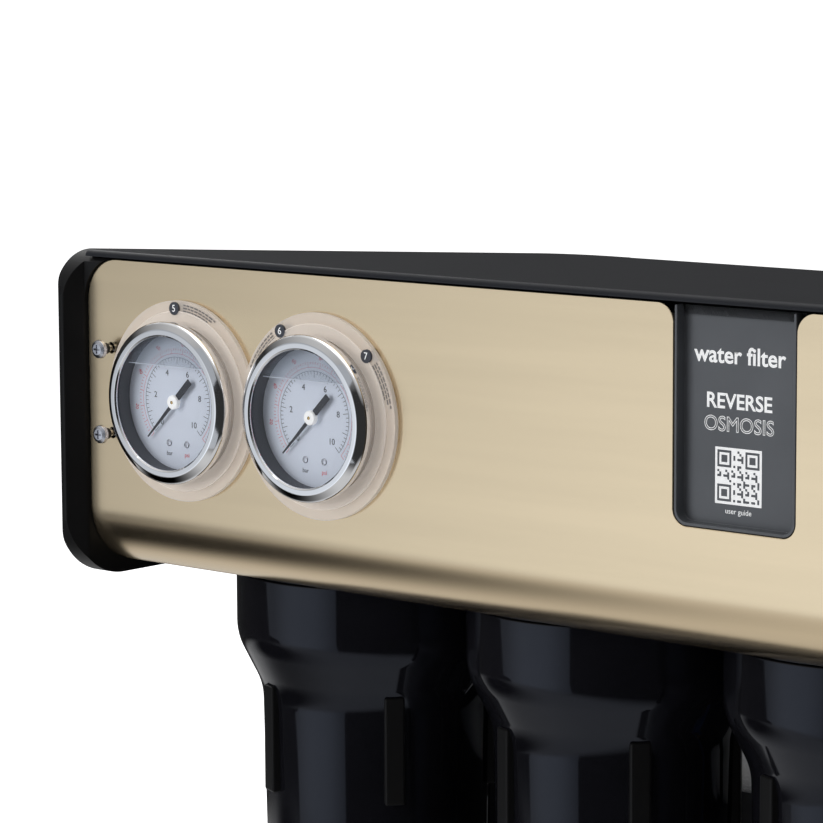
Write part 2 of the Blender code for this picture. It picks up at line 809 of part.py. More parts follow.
def make_membrane_stage():
    spot = (0, VESSEL_Y, VESSEL_Z)
    profile = [
        (0, -173),
        (24, -171),
        (36, -164),
        (42, -150),
        (42, 148),
        (38.3, 148),
        (38.3, -148),
        (33, -160),
        (0, -166),
    ]
    vessel = lathe("membrane_vessel", profile, "X", spot)
    inlet = (VESSEL_INLET_X, VESSEL_Y, 0)
    add(vessel, rod("boss", "Z", inlet, 9, VESSEL_Z - 54, VESSEL_Z - 39.5))
    cut(vessel, rod("bore", "Z", inlet, 5.4, VESSEL_Z - 60, VESSEL_Z - 30, 12))
    finish(vessel, VESSEL)
    profile = [
        (0, 151),
        (38, 151),
        (38, 149),
        (42.4, 149),
        (42.4, 126),
        (46.4, 126),
        (46.4, 154),
        (42, 160),
        (0, 160),
    ]
    cap = lathe("vessel_cap", profile, "X", spot)
    for y in (PERMEATE_Y, DRAIN_Y):
        add(cap, rod("boss", "X", (0, y, VESSEL_Z), 9, 155, 168))
        cut(cap, rod("bore", "X", (0, y, VESSEL_Z), 5.4, 145, 172, 12))
    finish(cap, VESSEL)
    profile = [
        (8, -128),
        (37.6, -128),
        (37.6, -120),
        (36.8, -119),
        (36.8, 131),
        (37.6, 132),
        (37.6, 140),
        (8, 140),
    ]
    element = lathe("membrane_element", profile, "X", spot, 20, ring=True)
    finish(element, MEMBRANE)
    back = PLATE_Y - 2.3
    cradle = block("vessel_cradle", (-112, 112), (back - 2, back), (VESSEL_Z - 26, VESSEL_Z + 26))
    for x in (-90, 90):
        ring = [(42.4, x - 9), (46.2, x - 9), (46.2, x + 9), (42.4, x + 9)]
        strap = lathe("strap", ring, "X", spot, 28, ring=True)
        leg = block("leg", (x - 9, x + 9), (VESSEL_Y + 36, back - 1), (VESSEL_Z - 20, VESSEL_Z + 20))
        cut(leg, rod("room", "X", spot, 44.5, x - 12, x + 12, 28))
        add(cradle, add(strap, leg))
    finish(cradle, MOULDED)


# Booster pump ---------------------------------------------------------------


def make_pump():
    spot = (0, PUMP_Y, PUMP_Z)
    profile = [
        (0, -80),
        (36, -80),
        (36, -74),
        (45, -70),
        (45, 98),
        (43.5, 99.5),
        (30, 99.5),
        (30, 97.5),
        (42.5, 97.5),
        (42.5, 72),
        (4.4, 72),
        (4.4, 50),
        (0, 50),
    ]
    motor = lathe("pump_motor", profile, "X", spot)
    add(motor, block("box", (-45, 15), (PUMP_Y - 24, PUMP_Y + 24), (PUMP_Z + 35, PUMP_Z + 60)))
    add(motor, block("spoke", (97.6, 99.4), (PUMP_Y - 33, PUMP_Y + 33), (PUMP_Z - 2, PUMP_Z + 2)))
    add(motor, block("spoke", (97.7, 99.3), (PUMP_Y - 2, PUMP_Y + 2), (PUMP_Z - 33, PUMP_Z + 33)))
    slots = []
    for k in range(6):
        a = math.radians(30 + 60 * k)
        y = PUMP_Y + 44 * math.cos(a)
        z = PUMP_Z + 44 * math.sin(a)
        slots.append(rod("slot", "X", (0, y, z), 4.0, 78, 92, 6))
    cut(motor, merged("slots", slots))
    finish(motor, MOTOR)
    profile = [(0, 52), (4.0, 52), (4.0, 75), (11, 75), (11, 92), (0, 92)]
    fan = lathe("pump_fan", profile, "X", spot, 12)
    for k in range(6):
        blade = block("blade", (76, 89), (8, 38), (-1.0, 1.0))
        turn = Matrix.Rotation(math.radians(60 * k), 4, "X")
        blade.data.transform(Matrix.Translation(Vector(spot) * MM) @ turn)
        add(fan, blade)
    finish(fan, FAN, (82, PUMP_Y, PUMP_Z))
    profile = [
        (0, -152),
        (26, -152),
        (30, -147),
        (30, -98),
        (35, -96),
        (35, -80.3),
        (0, -80.3),
    ]
    head = lathe("pump_head", profile, "X", spot, 20)
    for x in PUMP_PORTS:
        add(head, rod("boss", "Z", (x, PUMP_Y, 0), 9, PUMP_Z + 15, PUMP_Z + 42, 12))
        cut(head, rod("bore", "Z", (x, PUMP_Y, 0), 5.4, PUMP_Z + 22, PUMP_Z + 50, 12))
    finish(head, BRASS)
    low = TRAY_Z + 1.8
    saddle = [(PUMP_Y - 40, low), (PUMP_Y + 40, low), (PUMP_Y + 41, 55.3)]
    saddle += arc(PUMP_Y, PUMP_Z, 45.5, -36, -144, 12)
    saddle += [(PUMP_Y - 41, 55.3)]
    bracket = prism("pump_bracket", saddle, "X", -60, 50)
    finish(bracket, RUBBER)


# Side fittings --------------------------------------------------------------


def make_feed_valve():
    spot = (0, FEED_Y, FEED_Z)
    body = lathe(
        "feed_valve_body",
        [
            (5.1, 156),
            (8, 156),
            (8, 176),
            (12, 178),
            (12, SIDE_X - 2 - GAP),
            (8, SIDE_X - 2 - GAP),
            (8, SIDE_X + GAP),
            (12, SIDE_X + GAP),
            (12, 221),
            (11, 222.5),
            (5.1, 222.5),
        ],
        "X",
        spot,
        16,
        ring=True,
    )
    add(body, rod("neck", "Z", (206, FEED_Y, 0), 5, FEED_Z + 8, FEED_Z + 17, 12))
    finish(body, BRASS)
    axis_z = FEED_Z + 17 + GAP
    profile = [(0, axis_z), (7, axis_z), (7, axis_z + 4), (5, axis_z + 6), (0, axis_z + 6)]
    lever = lathe("feed_valve_lever", profile, "Z", (206, FEED_Y, 0), 16)
    wings = rounded(
        [
            (192.5, FEED_Y - 3, 2.5),
            (219.5, FEED_Y - 3, 2.5),
            (219.5, FEED_Y + 3, 2.5),
            (192.5, FEED_Y + 3, 2.5),
        ],
        3,
    )
    add(lever, prism("wings", wings, "Z", axis_z + 1, axis_z + 9))
    finish(lever, HANDLE, (206, FEED_Y, axis_z))


def make_drain_valve():
    x = 206.0
    low = VESSEL_Z - 32
    high = VESSEL_Z + 11
    wall = SIDE_X - 2 - GAP
    profile = [
        (0, 171),
        (7, 171),
        (7, 177),
        (11, 178),
        (11, wall),
        (8, wall),
        (8, SIDE_X + GAP),
        (11, SIDE_X + GAP),
        (11, 196),
        (7, 197),
        (7, x),
        (0, x),
    ]
    body = lathe("drain_valve_body", profile, "X", (0, DRAIN_Y, VESSEL_Z), 16)
    add(body, rod("barrel", "Z", (x, DRAIN_Y, 0), 9, low, high, 18))
    cut(body, rod("bore", "X", (0, DRAIN_Y, VESSEL_Z), 5.1, 165, 182, 12))
    cut(body, rod("bore", "X", (0, DRAIN_Y, VESSEL_Z), 3.5, 175, x, 12))
    cut(body, rod("bore", "Z", (x, DRAIN_Y, 0), 4.2, low - 5, VESSEL_Z + 1, 12), solver="MANIFOLD")
    cut(body, rod("stem", "Z", (x, DRAIN_Y, 0), 3.4, high - 5, high + 5, 12), solver="MANIFOLD")
    finish(body, BRASS)
    seat = high + GAP
    profile = [
        (0, high - 4.5),
        (3.0, high - 4.5),
        (3.0, seat),
        (9.5, seat),
        (9.5, seat + 11),
        (8, seat + 13),
        (0, seat + 13),
    ]
    knob = lathe("drain_valve_knob", profile, "Z", (x, DRAIN_Y, 0), 16)
    add(knob, block("pointer", (x - 0.8, x + 0.8), (DRAIN_Y - 7, DRAIN_Y), (seat + 12, seat + 14)))
    finish(knob, HANDLE, (x, DRAIN_Y, seat))


def make_power_inlet():
    outer = -SIDE_X - GAP
    flange = rounded([(81, 120, 3), (119, 120, 3), (119, 180, 3), (81, 180, 3)], 3)
    inlet = prism("power_inlet", flange, "X", outer - 3, outer)
    add(inlet, block("body", (-SIDE_X + 24, outer - 1), (86, 114), (125, 175)))
    cut(inlet, block("socket", (outer - 5, -SIDE_X + 18), (88.5, 111.5), (128.5, 147)))
    cut(inlet, block("window", (outer - 5, -SIDE_X + 8), (92, 108), (153.5, 172)))
    pins = []
    for y, z in ((93.5, 136), (106.5, 136), (100, 142)):
        pins.append(block("pin", (outer - 1, -SIDE_X + 20), (y - 1, y + 1), (z - 2.5, z + 2.5)))
    add(inlet, merged("pins", pins))
    finish(inlet, INLET)
    pivot = (-SIDE_X - 1.0, 100, 162.75)
    profile = [(-4.6, -8.2), (-1.6, 0), (-4.6, 8.2), (2.5, 8.2), (3.5, 3.5), (3.5, -3.5), (2.5, -8.2)]
    tilt = math.radians(8)
    turned = []
    for u, v in profile:
        turned.append(
            (
                pivot[0] + u * math.cos(tilt) - v * math.sin(tilt),
                pivot[2] + u * math.sin(tilt) + v * math.cos(tilt),
            )
        )
    rocker = prism("rocker_switch", turned, "Y", 92.8, 107.2)
    finish(rocker, ROCKER, pivot)


# Tubes ----------------------------------------------------------------------


def make_port_line(name, side, path, paint):
    """A line that leaves an outer filter port and is plugged into it by a collar."""
    x = side * (BOWL_X[2] + 53)
    start = [(x + side * 8, BOWL_Y, 371), (side * 206, BOWL_Y, 371), (side * 206, 2, 371)]
    line = tube(name, bend(start + path, 12), TUBE_R)
    collar = sorted((x, side * 200))
    add(line, rod("collar", "X", (0, BOWL_Y, 371), 10.2, collar[0], collar[1], 14))
    finish(line, paint)


def make_lines():
    x = 136
    path = [(x, 2, 371), (x, 2, FEED_Z), (x, FEED_Y, FEED_Z), (164, FEED_Y, FEED_Z)]
    make_port_line("feed_line", 1, path, TUBE_BLUE)
    x = PUMP_PORTS[0]
    path = [(x, 2, 371), (x, 2, 180), (x, PUMP_Y, 180), (x, PUMP_Y, PUMP_Z + 30)]
    make_port_line("prefiltered_line", -1, path, TUBE_BLUE)
    x = PUMP_PORTS[1]
    path = [
        (x, PUMP_Y, PUMP_Z + 30),
        (x, PUMP_Y, 150),
        (x, VESSEL_Y, 150),
        (VESSEL_INLET_X, VESSEL_Y, 150),
        (VESSEL_INLET_X, VESSEL_Y, VESSEL_Z - 44),
    ]
    finish(tube("pressure_line", bend(path, 11), TUBE_R), TUBE)
    wall = SIDE_X - 2 - GAP
    profile = [
        (0, 156),
        (TUBE_R, 156),
        (TUBE_R, 177),
        (11, 178),
        (11, wall),
        (8, wall),
        (8, SIDE_X + GAP),
        (11, SIDE_X + GAP),
        (11, 197),
        (8, 198),
        (8, 216),
        (4.8, 216),
        (4.8, 200),
        (0, 200),
    ]
    finish(lathe("permeate_line", profile, "X", (0, PERMEATE_Y, VESSEL_Z), 16), TUBE)
    finish(rod("drain_line", "X", (0, DRAIN_Y, VESSEL_Z), TUBE_R, 156, 180), TUBE)


make_tray()
make_feet()
make_back_plate()
make_side_panel(-1, "side_panel_left")
make_side_panel(1, "side_panel_right")
make_rail()
make_cheek(-1, "cheek_left")
make_cheek(1, "cheek_right")
make_cover()
make_front_panel()
make_label()
make_ring_plate()
make_panel_screws()
for gauge_side, gauge_x in zip(GAUGE_SIDE, GAUGE_X):
    make_gauge(gauge_side, gauge_x)
for bowl_number, bowl_x in enumerate(BOWL_X, 1):
    make_head(bowl_number, bowl_x)
    make_bowl(bowl_number, bowl_x)
    make_cartridge(bowl_number, bowl_x)
make_nipple("link_nipple_left", (BOWL_X[0] + BOWL_X[1]) / 2)
make_nipple("link_nipple_right", (BOWL_X[1] + BOWL_X[2]) / 2)
make_membrane_stage()
make_pump()
make_feed_valve()
make_drain_valve()
make_power_inlet()
make_lines()
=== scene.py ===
import math

import bmesh
import bpy
from mathutils import Matrix, Vector


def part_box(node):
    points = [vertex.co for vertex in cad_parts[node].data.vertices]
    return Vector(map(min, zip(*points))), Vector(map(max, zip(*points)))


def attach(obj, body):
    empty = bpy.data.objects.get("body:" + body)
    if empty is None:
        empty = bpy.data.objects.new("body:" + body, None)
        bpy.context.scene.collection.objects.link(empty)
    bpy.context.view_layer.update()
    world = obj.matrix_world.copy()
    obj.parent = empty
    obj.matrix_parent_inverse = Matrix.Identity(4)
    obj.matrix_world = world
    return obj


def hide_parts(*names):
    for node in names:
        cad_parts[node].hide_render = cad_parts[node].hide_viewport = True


# Looks of the reverse osmosis unit. Lengths are millimetres and angles degrees unless a comment says
# otherwise. The front faces -Y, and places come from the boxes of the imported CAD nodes.

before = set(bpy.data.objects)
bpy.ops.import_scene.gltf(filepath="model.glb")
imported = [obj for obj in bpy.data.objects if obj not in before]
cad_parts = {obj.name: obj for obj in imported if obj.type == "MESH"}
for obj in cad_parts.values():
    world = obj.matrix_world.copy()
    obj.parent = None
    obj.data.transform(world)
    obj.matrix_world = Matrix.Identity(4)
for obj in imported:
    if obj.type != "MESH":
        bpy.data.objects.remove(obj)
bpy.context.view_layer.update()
MM = 0.001


def span(node):
    """Lowest and highest x, y and z of a CAD node, in millimetres."""
    return [(low / MM, high / MM) for low, high in zip(*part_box(node))]


def middle(node):
    """Middle of a CAD node's box."""
    return [(low + high) / 2 for low, high in span(node)]


ORIGIN = (0, 0, 0)
SIDES = ("left", "right")
GAP = 0.3

# The hood
FACE_Y = span("front_panel")[1][0]
PANEL_X = span("front_panel")[0][1]
HALF_WIDTH = span("cheek_right")[0][1]
FRONT_Y, BACK_Y = span("cheek_right")[1]
HOOD_BOTTOM = span("cheek_right")[2][0]
INNER = PANEL_X + GAP
LIP_X = 186.0
LIP_DEPTH = 10.0
TOP_Z = 478.0
TOP_SLOPE = 0.0745
PANEL_TOP = 474.5
ROLL_R = 28.0
ROLL_Z = span("front_panel")[2][0] + ROLL_R
CORNER_R = 18.0
LABEL_X = span("label_plate")[0]
NOTCH = (LABEL_X[0] + 7.7, LABEL_X[1] - 7.7, span("label_plate")[2][0] - GAP)
LABEL_Y = FACE_Y + 5.0
SCREWS = ("panel_screw_upper", "panel_screw_lower")
PLUGS = ((-130, 358), (-130, 452), (145, 358), (145, 436))

# Gauges and filter housings
GAUGES = {side: middle(f"gauge_bezel_{side}")[::2] for side in SIDES}
GAUGE_HOLE_R = 32.3
RING_Y = span("ring_plate")[1][0]
DIAL_Y = FACE_Y - 3.8
FILLED_TO = 15.4
BOWLS = {k: middle(f"filter_bowl_{k}")[:2] for k in (1, 2, 3)}
RIM_Z = 337.0
PORT_Z = middle("link_nipple_left")[2]

# Chassis, pump, membrane and lines
SHEET = 1.5
TUBE_R = 4.8
BORE_R = 5.4
WALL_IN, WALL_OUT = (x + gap for x, gap in zip(span("side_panel_right")[0], (-GAP, GAP)))
VESSEL_Y, VESSEL_Z = (round(at, 3) for at in middle("membrane_element")[1:])
VESSEL_IN_X = -140.0
PUMP_Y, PUMP_Z = middle("pump_fan")[1:]
PUMP_IN_X, PUMP_OUT_X = -138.0, -112.0
FEED_X, FEED_Y = middle("feed_valve_lever")[:2]
FEED_Z = round(span("feed_line")[2][0] + TUBE_R, 3)
DRAIN_X = middle("drain_valve_knob")[0]
DRAIN_Y, DRAIN_Z = middle("drain_line")[1:]
LOUVRES = range(50, 130, 20)

# Stage, in metres: the left and right end of the screen in front, and the camera
REFLECTOR = ((-1.81, -1.035), (0.13, -1.72))
CAMERA_SPOT = (0.89196, -1.21017, 0.60525)
CAMERA_TURN = (41.38, -7.46, -0.29)
CAMERA_LENS = 154.57


# Paints ---------------------------------------------------------------------

GLASS_IOR = 1.45


def add(tree, kind, inputs, **settings):
    """Add a shader node. Each input gets a link from another node's output, or a plain value."""
    made = tree.nodes.new(f"ShaderNode{kind}")
    for name, value in settings.items():
        setattr(made, name, value)
    for name, value in inputs.items():
        if isinstance(value, bpy.types.NodeSocket):
            tree.links.new(value, made.inputs[name])
        else:
            made.inputs[name].default_value = value
    return made


def remap(tree, value, low, high, start=0.0, end=1.0, **settings):
    """A value that goes from start to end, mapped on to low to high."""
    inputs = {"Value": value, "From Min": start, "From Max": end, "To Min": low, "To Max": high}
    return add(tree, "MapRange", inputs, **settings).outputs["Result"]


def times(tree, one, two):
    return add(tree, "Math", {0: one, 1: two}, operation="MULTIPLY").outputs["Value"]


def grain(tree, scale, stretch):
    """Noise over the part's own metres, stretched along its axes."""
    place = add(tree, "TexCoord", {}).outputs["Object"]
    shape = add(tree, "Mapping", {"Scale": stretch, "Vector": place}).outputs["Vector"]
    return add(tree, "TexNoise", {"Scale": scale, "Detail": 3.0, "Vector": shape}).outputs["Fac"]


def spread(tree, noise, low, high):
    """The middle of a noise's range, mapped on to low to high."""
    return remap(tree, noise, low, high, 0.3, 0.7)


def surface(
    name, colour, rough, tint=0.08, blotch=35.0, stretch=(1, 1, 1), bump=0.0, grit=2500.0, vary=0.15, **more
):
    """Principled material with clouded colour and roughness, and a fine grain in its bump."""
    made = bpy.data.materials.new(name)
    made.use_nodes = True
    made.diffuse_color = (*colour, 1.0)
    tree = made.node_tree
    shader = tree.nodes["Principled BSDF"]
    for socket, value in more.items():
        shader.inputs[socket.replace("_", " ").title().replace("Ior", "IOR")].default_value = value
    dark = (*[c * (1 - tint) for c in colour], 1.0)
    light = (*[min(1.0, c * (1 + tint)) for c in colour], 1.0)
    cloud = spread(tree, grain(tree, blotch, stretch), 0.0, 1.0)
    mix = add(tree, "Mix", {"Factor": cloud, "A": dark, "B": light}, data_type="RGBA")
    tree.links.new(mix.outputs["Result"], shader.inputs["Base Color"])
    fine = grain(tree, grit, stretch)
    tree.links.new(spread(tree, fine, rough * (1 - vary), rough * (1 + vary)), shader.inputs["Roughness"])
    if bump:
        bumps = add(tree, "Bump", {"Strength": bump, "Distance": 0.0001, "Height": fine})
        tree.links.new(bumps.outputs["Normal"], shader.inputs["Normal"])
    return made


def brushed_gold():
    """Champagne sheet with a fine horizontal brush, which blurs highlights up and down."""
    brush = dict(tint=0.03, blotch=9.0, stretch=(0.5, 4, 9), grit=500.0, vary=0.05, anisotropic=0.3)
    made = surface("gold_steel", (0.84, 0.68, 0.455), 0.24, metallic=1.0, **brush)
    tree = made.node_tree
    along = add(tree, "CombineXYZ", {"X": 1.0})
    tree.links.new(along.outputs["Vector"], tree.nodes["Principled BSDF"].inputs["Tangent"])
    return made


def see_through(name, colour, rough, share, **more):
    """Clear material: share of it is open, the rest is a glossy coloured skin."""
    made = surface(name, colour, rough, tint=0.02, ior=GLASS_IOR, **more)
    tree = made.node_tree
    skin = tree.nodes["Principled BSDF"].outputs["BSDF"]
    clear = add(tree, "BsdfTransparent", {}).outputs["BSDF"]
    mix = add(tree, "MixShader", {"Fac": share, 1: skin, 2: clear})
    tree.links.new(mix.outputs["Shader"], tree.nodes["Material Output"].inputs["Surface"])
    return made


def clear_glass():
    """Window glass: open straight on, a mirror at a low angle, and no shadow."""
    made = see_through("clear_glass", (0.9, 0.95, 1.0), 0.02, 0.9)
    tree = made.node_tree
    gloss = add(tree, "BsdfGlossy", {"Roughness": 0.02})
    fresnel = add(tree, "Fresnel", {"IOR": GLASS_IOR})
    front_only = remap(tree, add(tree, "NewGeometry", {}).outputs["Backfacing"], 1.0, 0.0)
    mix = tree.nodes["Mix Shader"]
    tree.links.new(tree.nodes["Transparent BSDF"].outputs["BSDF"], mix.inputs[1])
    tree.links.new(gloss.outputs["BSDF"], mix.inputs[2])
    tree.links.new(times(tree, fresnel.outputs["Fac"], front_only), mix.inputs["Fac"])
    return made


def ring_acrylic():
    """Clear sheet whose flat front is more open than its edges; its pale skin has a faint painted glow,
    though it is no lamp.
    """
    made = see_through("ring_acrylic", (0.98, 0.9, 0.82), 0.22, 0.8, emission_strength=0.08)
    tree = made.node_tree
    normal = add(tree, "NewGeometry", {}).outputs["Normal"]
    split = add(tree, "SeparateXYZ", {"Vector": normal})
    facing = add(tree, "Math", {0: split.outputs["Y"]}, operation="ABSOLUTE").outputs["Value"]
    tree.links.new(remap(tree, facing, 0.2, 0.6, 0.7, 0.97), tree.nodes["Mix Shader"].inputs["Fac"])
    return made


# Colour, roughness and what differs from an even clouded paint
FINISHES = {
    "black_paint": ((0.016, 0.016, 0.018), 0.36, dict(bump=0.12, grit=1800.0)),
    # This copy of black_paint, darker, bluer and less reflective, is for the top cover alone: painted shade
    # on the top.
    "shaded_cover_paint": ((0.013, 0.014, 0.018), 0.36, dict(bump=0.1, grit=1800.0, specular_ior_level=0.28)),
    # specular_tint turns every reflection on the black plastic blue: the colour of the light painted into its
    # highlights.
    "black_plastic": (
        (0.006, 0.006, 0.008),
        0.07,
        dict(tint=0.15, bump=0.02, grit=160.0, specular_ior_level=0.32, specular_tint=(0.82, 0.9, 1.1, 1.0)),
    ),
    "moulded_cheek": ((0.009, 0.009, 0.0095), 0.4, dict(bump=0.1, grit=3500.0, specular_ior_level=0.16)),
    "label_plate": ((0.094, 0.1, 0.11), 0.34, dict(bump=0.06, grit=3000.0)),
    "chrome": ((0.86, 0.86, 0.87), 0.06, dict(metallic=1.0, tint=0.02, grit=500.0)),
    "dial_white": ((0.75, 0.81, 0.93), 0.45, dict(tint=0.015, grit=900.0)),
    "needle_black": ((0.02, 0.022, 0.03), 0.4, dict(bump=0.05, grit=2000.0)),
    "brass": ((0.72, 0.52, 0.24), 0.24, dict(metallic=1.0, bump=0.06, grit=1200.0)),
    "zinc_screw": ((0.62, 0.63, 0.68), 0.26, dict(metallic=1.0, bump=0.08, grit=1500.0)),
    "rubber": ((0.022, 0.022, 0.022), 0.75, dict(tint=0.2, bump=0.3, grit=1500.0)),
    "filter_media": ((0.8, 0.79, 0.75), 0.85, dict(bump=0.5, stretch=(1, 1, 4), grit=900.0)),
    "vessel_white": ((0.78, 0.79, 0.8), 0.26, dict(tint=0.03, bump=0.05, grit=500.0)),
    "membrane_wrap": ((0.12, 0.3, 0.5), 0.4, dict(bump=0.1, stretch=(6, 1, 1), grit=400.0)),
    "motor_paint": ((0.05, 0.055, 0.06), 0.35, dict(bump=0.12, grit=1600.0)),
    "fan_plastic": ((0.04, 0.04, 0.045), 0.5, dict(bump=0.1)),
    "handle_blue": ((0.02, 0.1, 0.42), 0.35, dict(bump=0.08)),
    "inlet_plastic": ((0.018, 0.018, 0.019), 0.42, dict(bump=0.15)),
    "rocker_red": ((0.55, 0.02, 0.012), 0.22, dict(bump=0.03)),
    "tube_white": ((0.76, 0.77, 0.79), 0.3, dict(tint=0.03, bump=0.05, grit=600.0)),
    "tube_blue": ((0.03, 0.15, 0.52), 0.3, dict(tint=0.06, bump=0.05, grit=600.0)),
    # The white print glows faintly through emission_strength: a painted glow that keeps it bright, though it
    # is no lamp.
    "print_white": ((0.88, 0.89, 0.9), 0.5, dict(tint=0.02, emission_strength=0.25)),
    "print_grey": ((0.17, 0.16, 0.16), 0.5, dict(tint=0.1)),
    "print_black": ((0.05, 0.055, 0.07), 0.5, dict(tint=0.1)),
    "print_red": ((0.72, 0.12, 0.16), 0.5, dict(tint=0.05)),
}
PAINTS = {name: surface(name, colour, rough, **more) for name, (colour, rough, more) in FINISHES.items()}
PAINTS["gold_steel"] = brushed_gold()
PAINTS["clear_glass"] = clear_glass()
PAINTS["ring_acrylic"] = ring_acrylic()
# Bluish see-through sheet that paints shade on the gauges' air gap.
PAINTS["air_gap_shade"] = see_through("air_gap_shade", (0.35, 0.42, 0.52), 0.06, 0.82)


# Mesh helpers ---------------------------------------------------------------

AXES = {
    "X": Matrix(((0, 0, 1, 0), (1, 0, 0, 0), (0, 1, 0, 0), (0, 0, 0, 1))),
    "Y": Matrix(((1, 0, 0, 0), (0, 0, 1, 0), (0, 1, 0, 0), (0, 0, 0, 1))),
    "Z": Matrix.Identity(4),
}
WELD = 2e-6
NEARLY_STRAIGHT = math.radians(88)


def link(name, data):
    made = bpy.data.objects.new(name, data)
    bpy.context.scene.collection.objects.link(made)
    return made


def made_of(name, bm):
    """Object that holds a finished bmesh."""
    mesh = bpy.data.meshes.new(name)
    bm.to_mesh(mesh)
    bm.free()
    return link(name, mesh)


def baked(holder):
    """The object's mesh with its modifiers or its curve worked out."""
    graph = bpy.context.evaluated_depsgraph_get()
    return bpy.data.meshes.new_from_object(holder.evaluated_get(graph))


def welded(holder, spin, flatten=True):
    """Replace a holder by a welded mesh, placed in the row frame with its faces pointing out."""
    bm = bmesh.new()
    bm.from_mesh(baked(holder))
    bmesh.ops.transform(bm, matrix=spin, verts=bm.verts)
    bmesh.ops.remove_doubles(bm, verts=bm.verts, dist=WELD)
    if flatten:
        bmesh.ops.dissolve_limit(bm, angle_limit=math.radians(0.2), verts=bm.verts, edges=bm.edges)
    bmesh.ops.recalc_face_normals(bm, faces=bm.faces)
    name = holder.name
    bpy.data.objects.remove(holder, do_unlink=True)
    return made_of(name, bm)


def rounded(corners, seg=8, ring=True, fillet=0.0):
    """Outline from (u, v) or (u, v, radius) corners. One without a radius gets the fillet, as far as
    its sides allow."""
    outline = []
    count = len(corners)
    for i, corner in enumerate(corners):
        here = Vector(corner[:2])
        own = len(corner) > 2
        radius = corner[2] if own else fillet
        back = Vector(corners[i - 1][:2]) - here
        ahead = Vector(corners[(i + 1) % count][:2]) - here
        end = not ring and i in (0, count - 1)
        if radius <= 0 or end or back.angle(ahead) / 2 > NEARLY_STRAIGHT:
            outline.append(tuple(here))
            continue
        half = back.angle(ahead) / 2
        reach = radius / math.tan(half)
        if not own:
            reach = min(reach, 0.45 * back.length, 0.45 * ahead.length)
        radius = reach * math.tan(half)
        back.normalize()
        ahead.normalize()
        centre = here + (back + ahead).normalized() * (radius / math.sin(half))
        start = here + back * reach - centre
        sweep = start.angle_signed(here + ahead * reach - centre)
        for k in range(seg + 1):
            arm = start.copy()
            arm.rotate(Matrix.Rotation(-sweep * k / seg, 2))
            outline.append(tuple(centre + arm))
    return outline


def rectangle(u, v, radius, seg=8):
    """Rounded rectangle over two spans."""
    (left, right), (low, high) = u, v
    corners = ((left, low), (right, low), (right, high), (left, high))
    return rounded([(*corner, radius) for corner in corners], seg)


def arc(u, v, radius, start, end, seg):
    """Points on a circle in the (u, v) plane from one angle to another."""
    steps = [math.radians(start + (end - start) * k / seg) for k in range(seg + 1)]
    return [(u + radius * math.cos(a), v + radius * math.sin(a)) for a in steps]


def on_circle(u, v, radius, angle):
    return u + radius * math.cos(math.radians(angle)), v + radius * math.sin(math.radians(angle))


def flat(name, outline, axis, low, high, holes=(), soft=0.0):
    """Outline in the plane across the axis, thickened from low to high, with softened edges."""
    curve = bpy.data.curves.new(name, "CURVE")
    curve.dimensions = "2D"
    curve.fill_mode = "BOTH"
    curve.extrude = ((high - low) / 2 - soft) * MM
    curve.bevel_depth = soft * MM
    curve.bevel_resolution = 1
    curve.offset = -soft * MM
    for loop, turn in [(outline, 1)] + [(hole, -1) for hole in holes]:
        area = sum(a[0] * b[1] - b[0] * a[1] for a, b in zip(loop, loop[1:] + loop[:1]))
        loop = loop if area * turn > 0 else loop[::-1]
        spline = curve.splines.new("POLY")
        spline.use_cyclic_u = True
        spline.points.add(len(loop) - 1)
        for point, (u, v) in zip(spline.points, loop):
            point.co = (u * MM, v * MM, 0, 1)
    lift = Matrix.Translation((0, 0, (low + high) / 2 * MM))
    return welded(link(name, curve), AXES[axis] @ lift)


def turned(name, profile, axis, centre, steps=72, ring=False, fillet=0.4, seg=2):
    """Profile of (radius, height) turned about an axis through centre, its corners softened."""
    outline = rounded(profile, seg, ring, fillet)
    mesh = bpy.data.meshes.new(name)
    edges = [(i, i + 1) for i in range(len(outline) - 1)]
    if ring:
        edges.append((len(outline) - 1, 0))
    mesh.from_pydata([(r * MM, 0, h * MM) for r, h in outline], edges, [])
    holder = link(name, mesh)
    screw = holder.modifiers.new("turn", "SCREW")
    screw.steps = steps
    screw.render_steps = steps
    screw.use_merge_vertices = True
    screw.merge_threshold = 1e-6
    return welded(holder, Matrix.Translation(Vector(centre) * MM) @ AXES[axis], flatten=False)


def rod(name, axis, centre, radius, low, high, steps=32, fillet=0.0):
    profile = [(0, low), (radius, low), (radius, high), (0, high)]
    return turned(name, profile, axis, centre, steps, fillet=fillet)


def sleeve(name, axis, centre, inner, outer, low, high, steps=48, fillet=0.0):
    profile = [(inner, low), (outer, low), (outer, high), (inner, high)]
    return turned(name, profile, axis, centre, steps, True, fillet)


def block(name, x, y, z, soft=0.0, seg=2):
    """Box with rounded edges."""
    bm = bmesh.new()
    size = [(high - low) * MM for low, high in (x, y, z)]
    mid = [(high + low) / 2 * MM for low, high in (x, y, z)]
    bmesh.ops.create_cube(bm, size=1.0)
    bmesh.ops.scale(bm, vec=size, verts=bm.verts)
    if soft:
        bmesh.ops.bevel(bm, geom=bm.edges, offset=soft * MM, segments=seg, profile=0.5, affect="EDGES")
    bmesh.ops.translate(bm, vec=mid, verts=bm.verts)
    return made_of(name, bm)


def disc(name, radius, segments):
    """Flat disc on the floor; the radius is in metres."""
    bm = bmesh.new()
    bmesh.ops.create_circle(bm, cap_ends=True, segments=segments, radius=radius)
    return made_of(name, bm)


def combine(body, tool, operation, solver="EXACT"):
    change = body.modifiers.new("combine", "BOOLEAN")
    change.operation = operation
    change.solver = solver
    change.object = tool
    mesh = baked(body)
    body.modifiers.clear()
    body.data = mesh
    bpy.data.objects.remove(tool, do_unlink=True)
    return body


def join(body, tool):
    return combine(body, tool, "UNION")


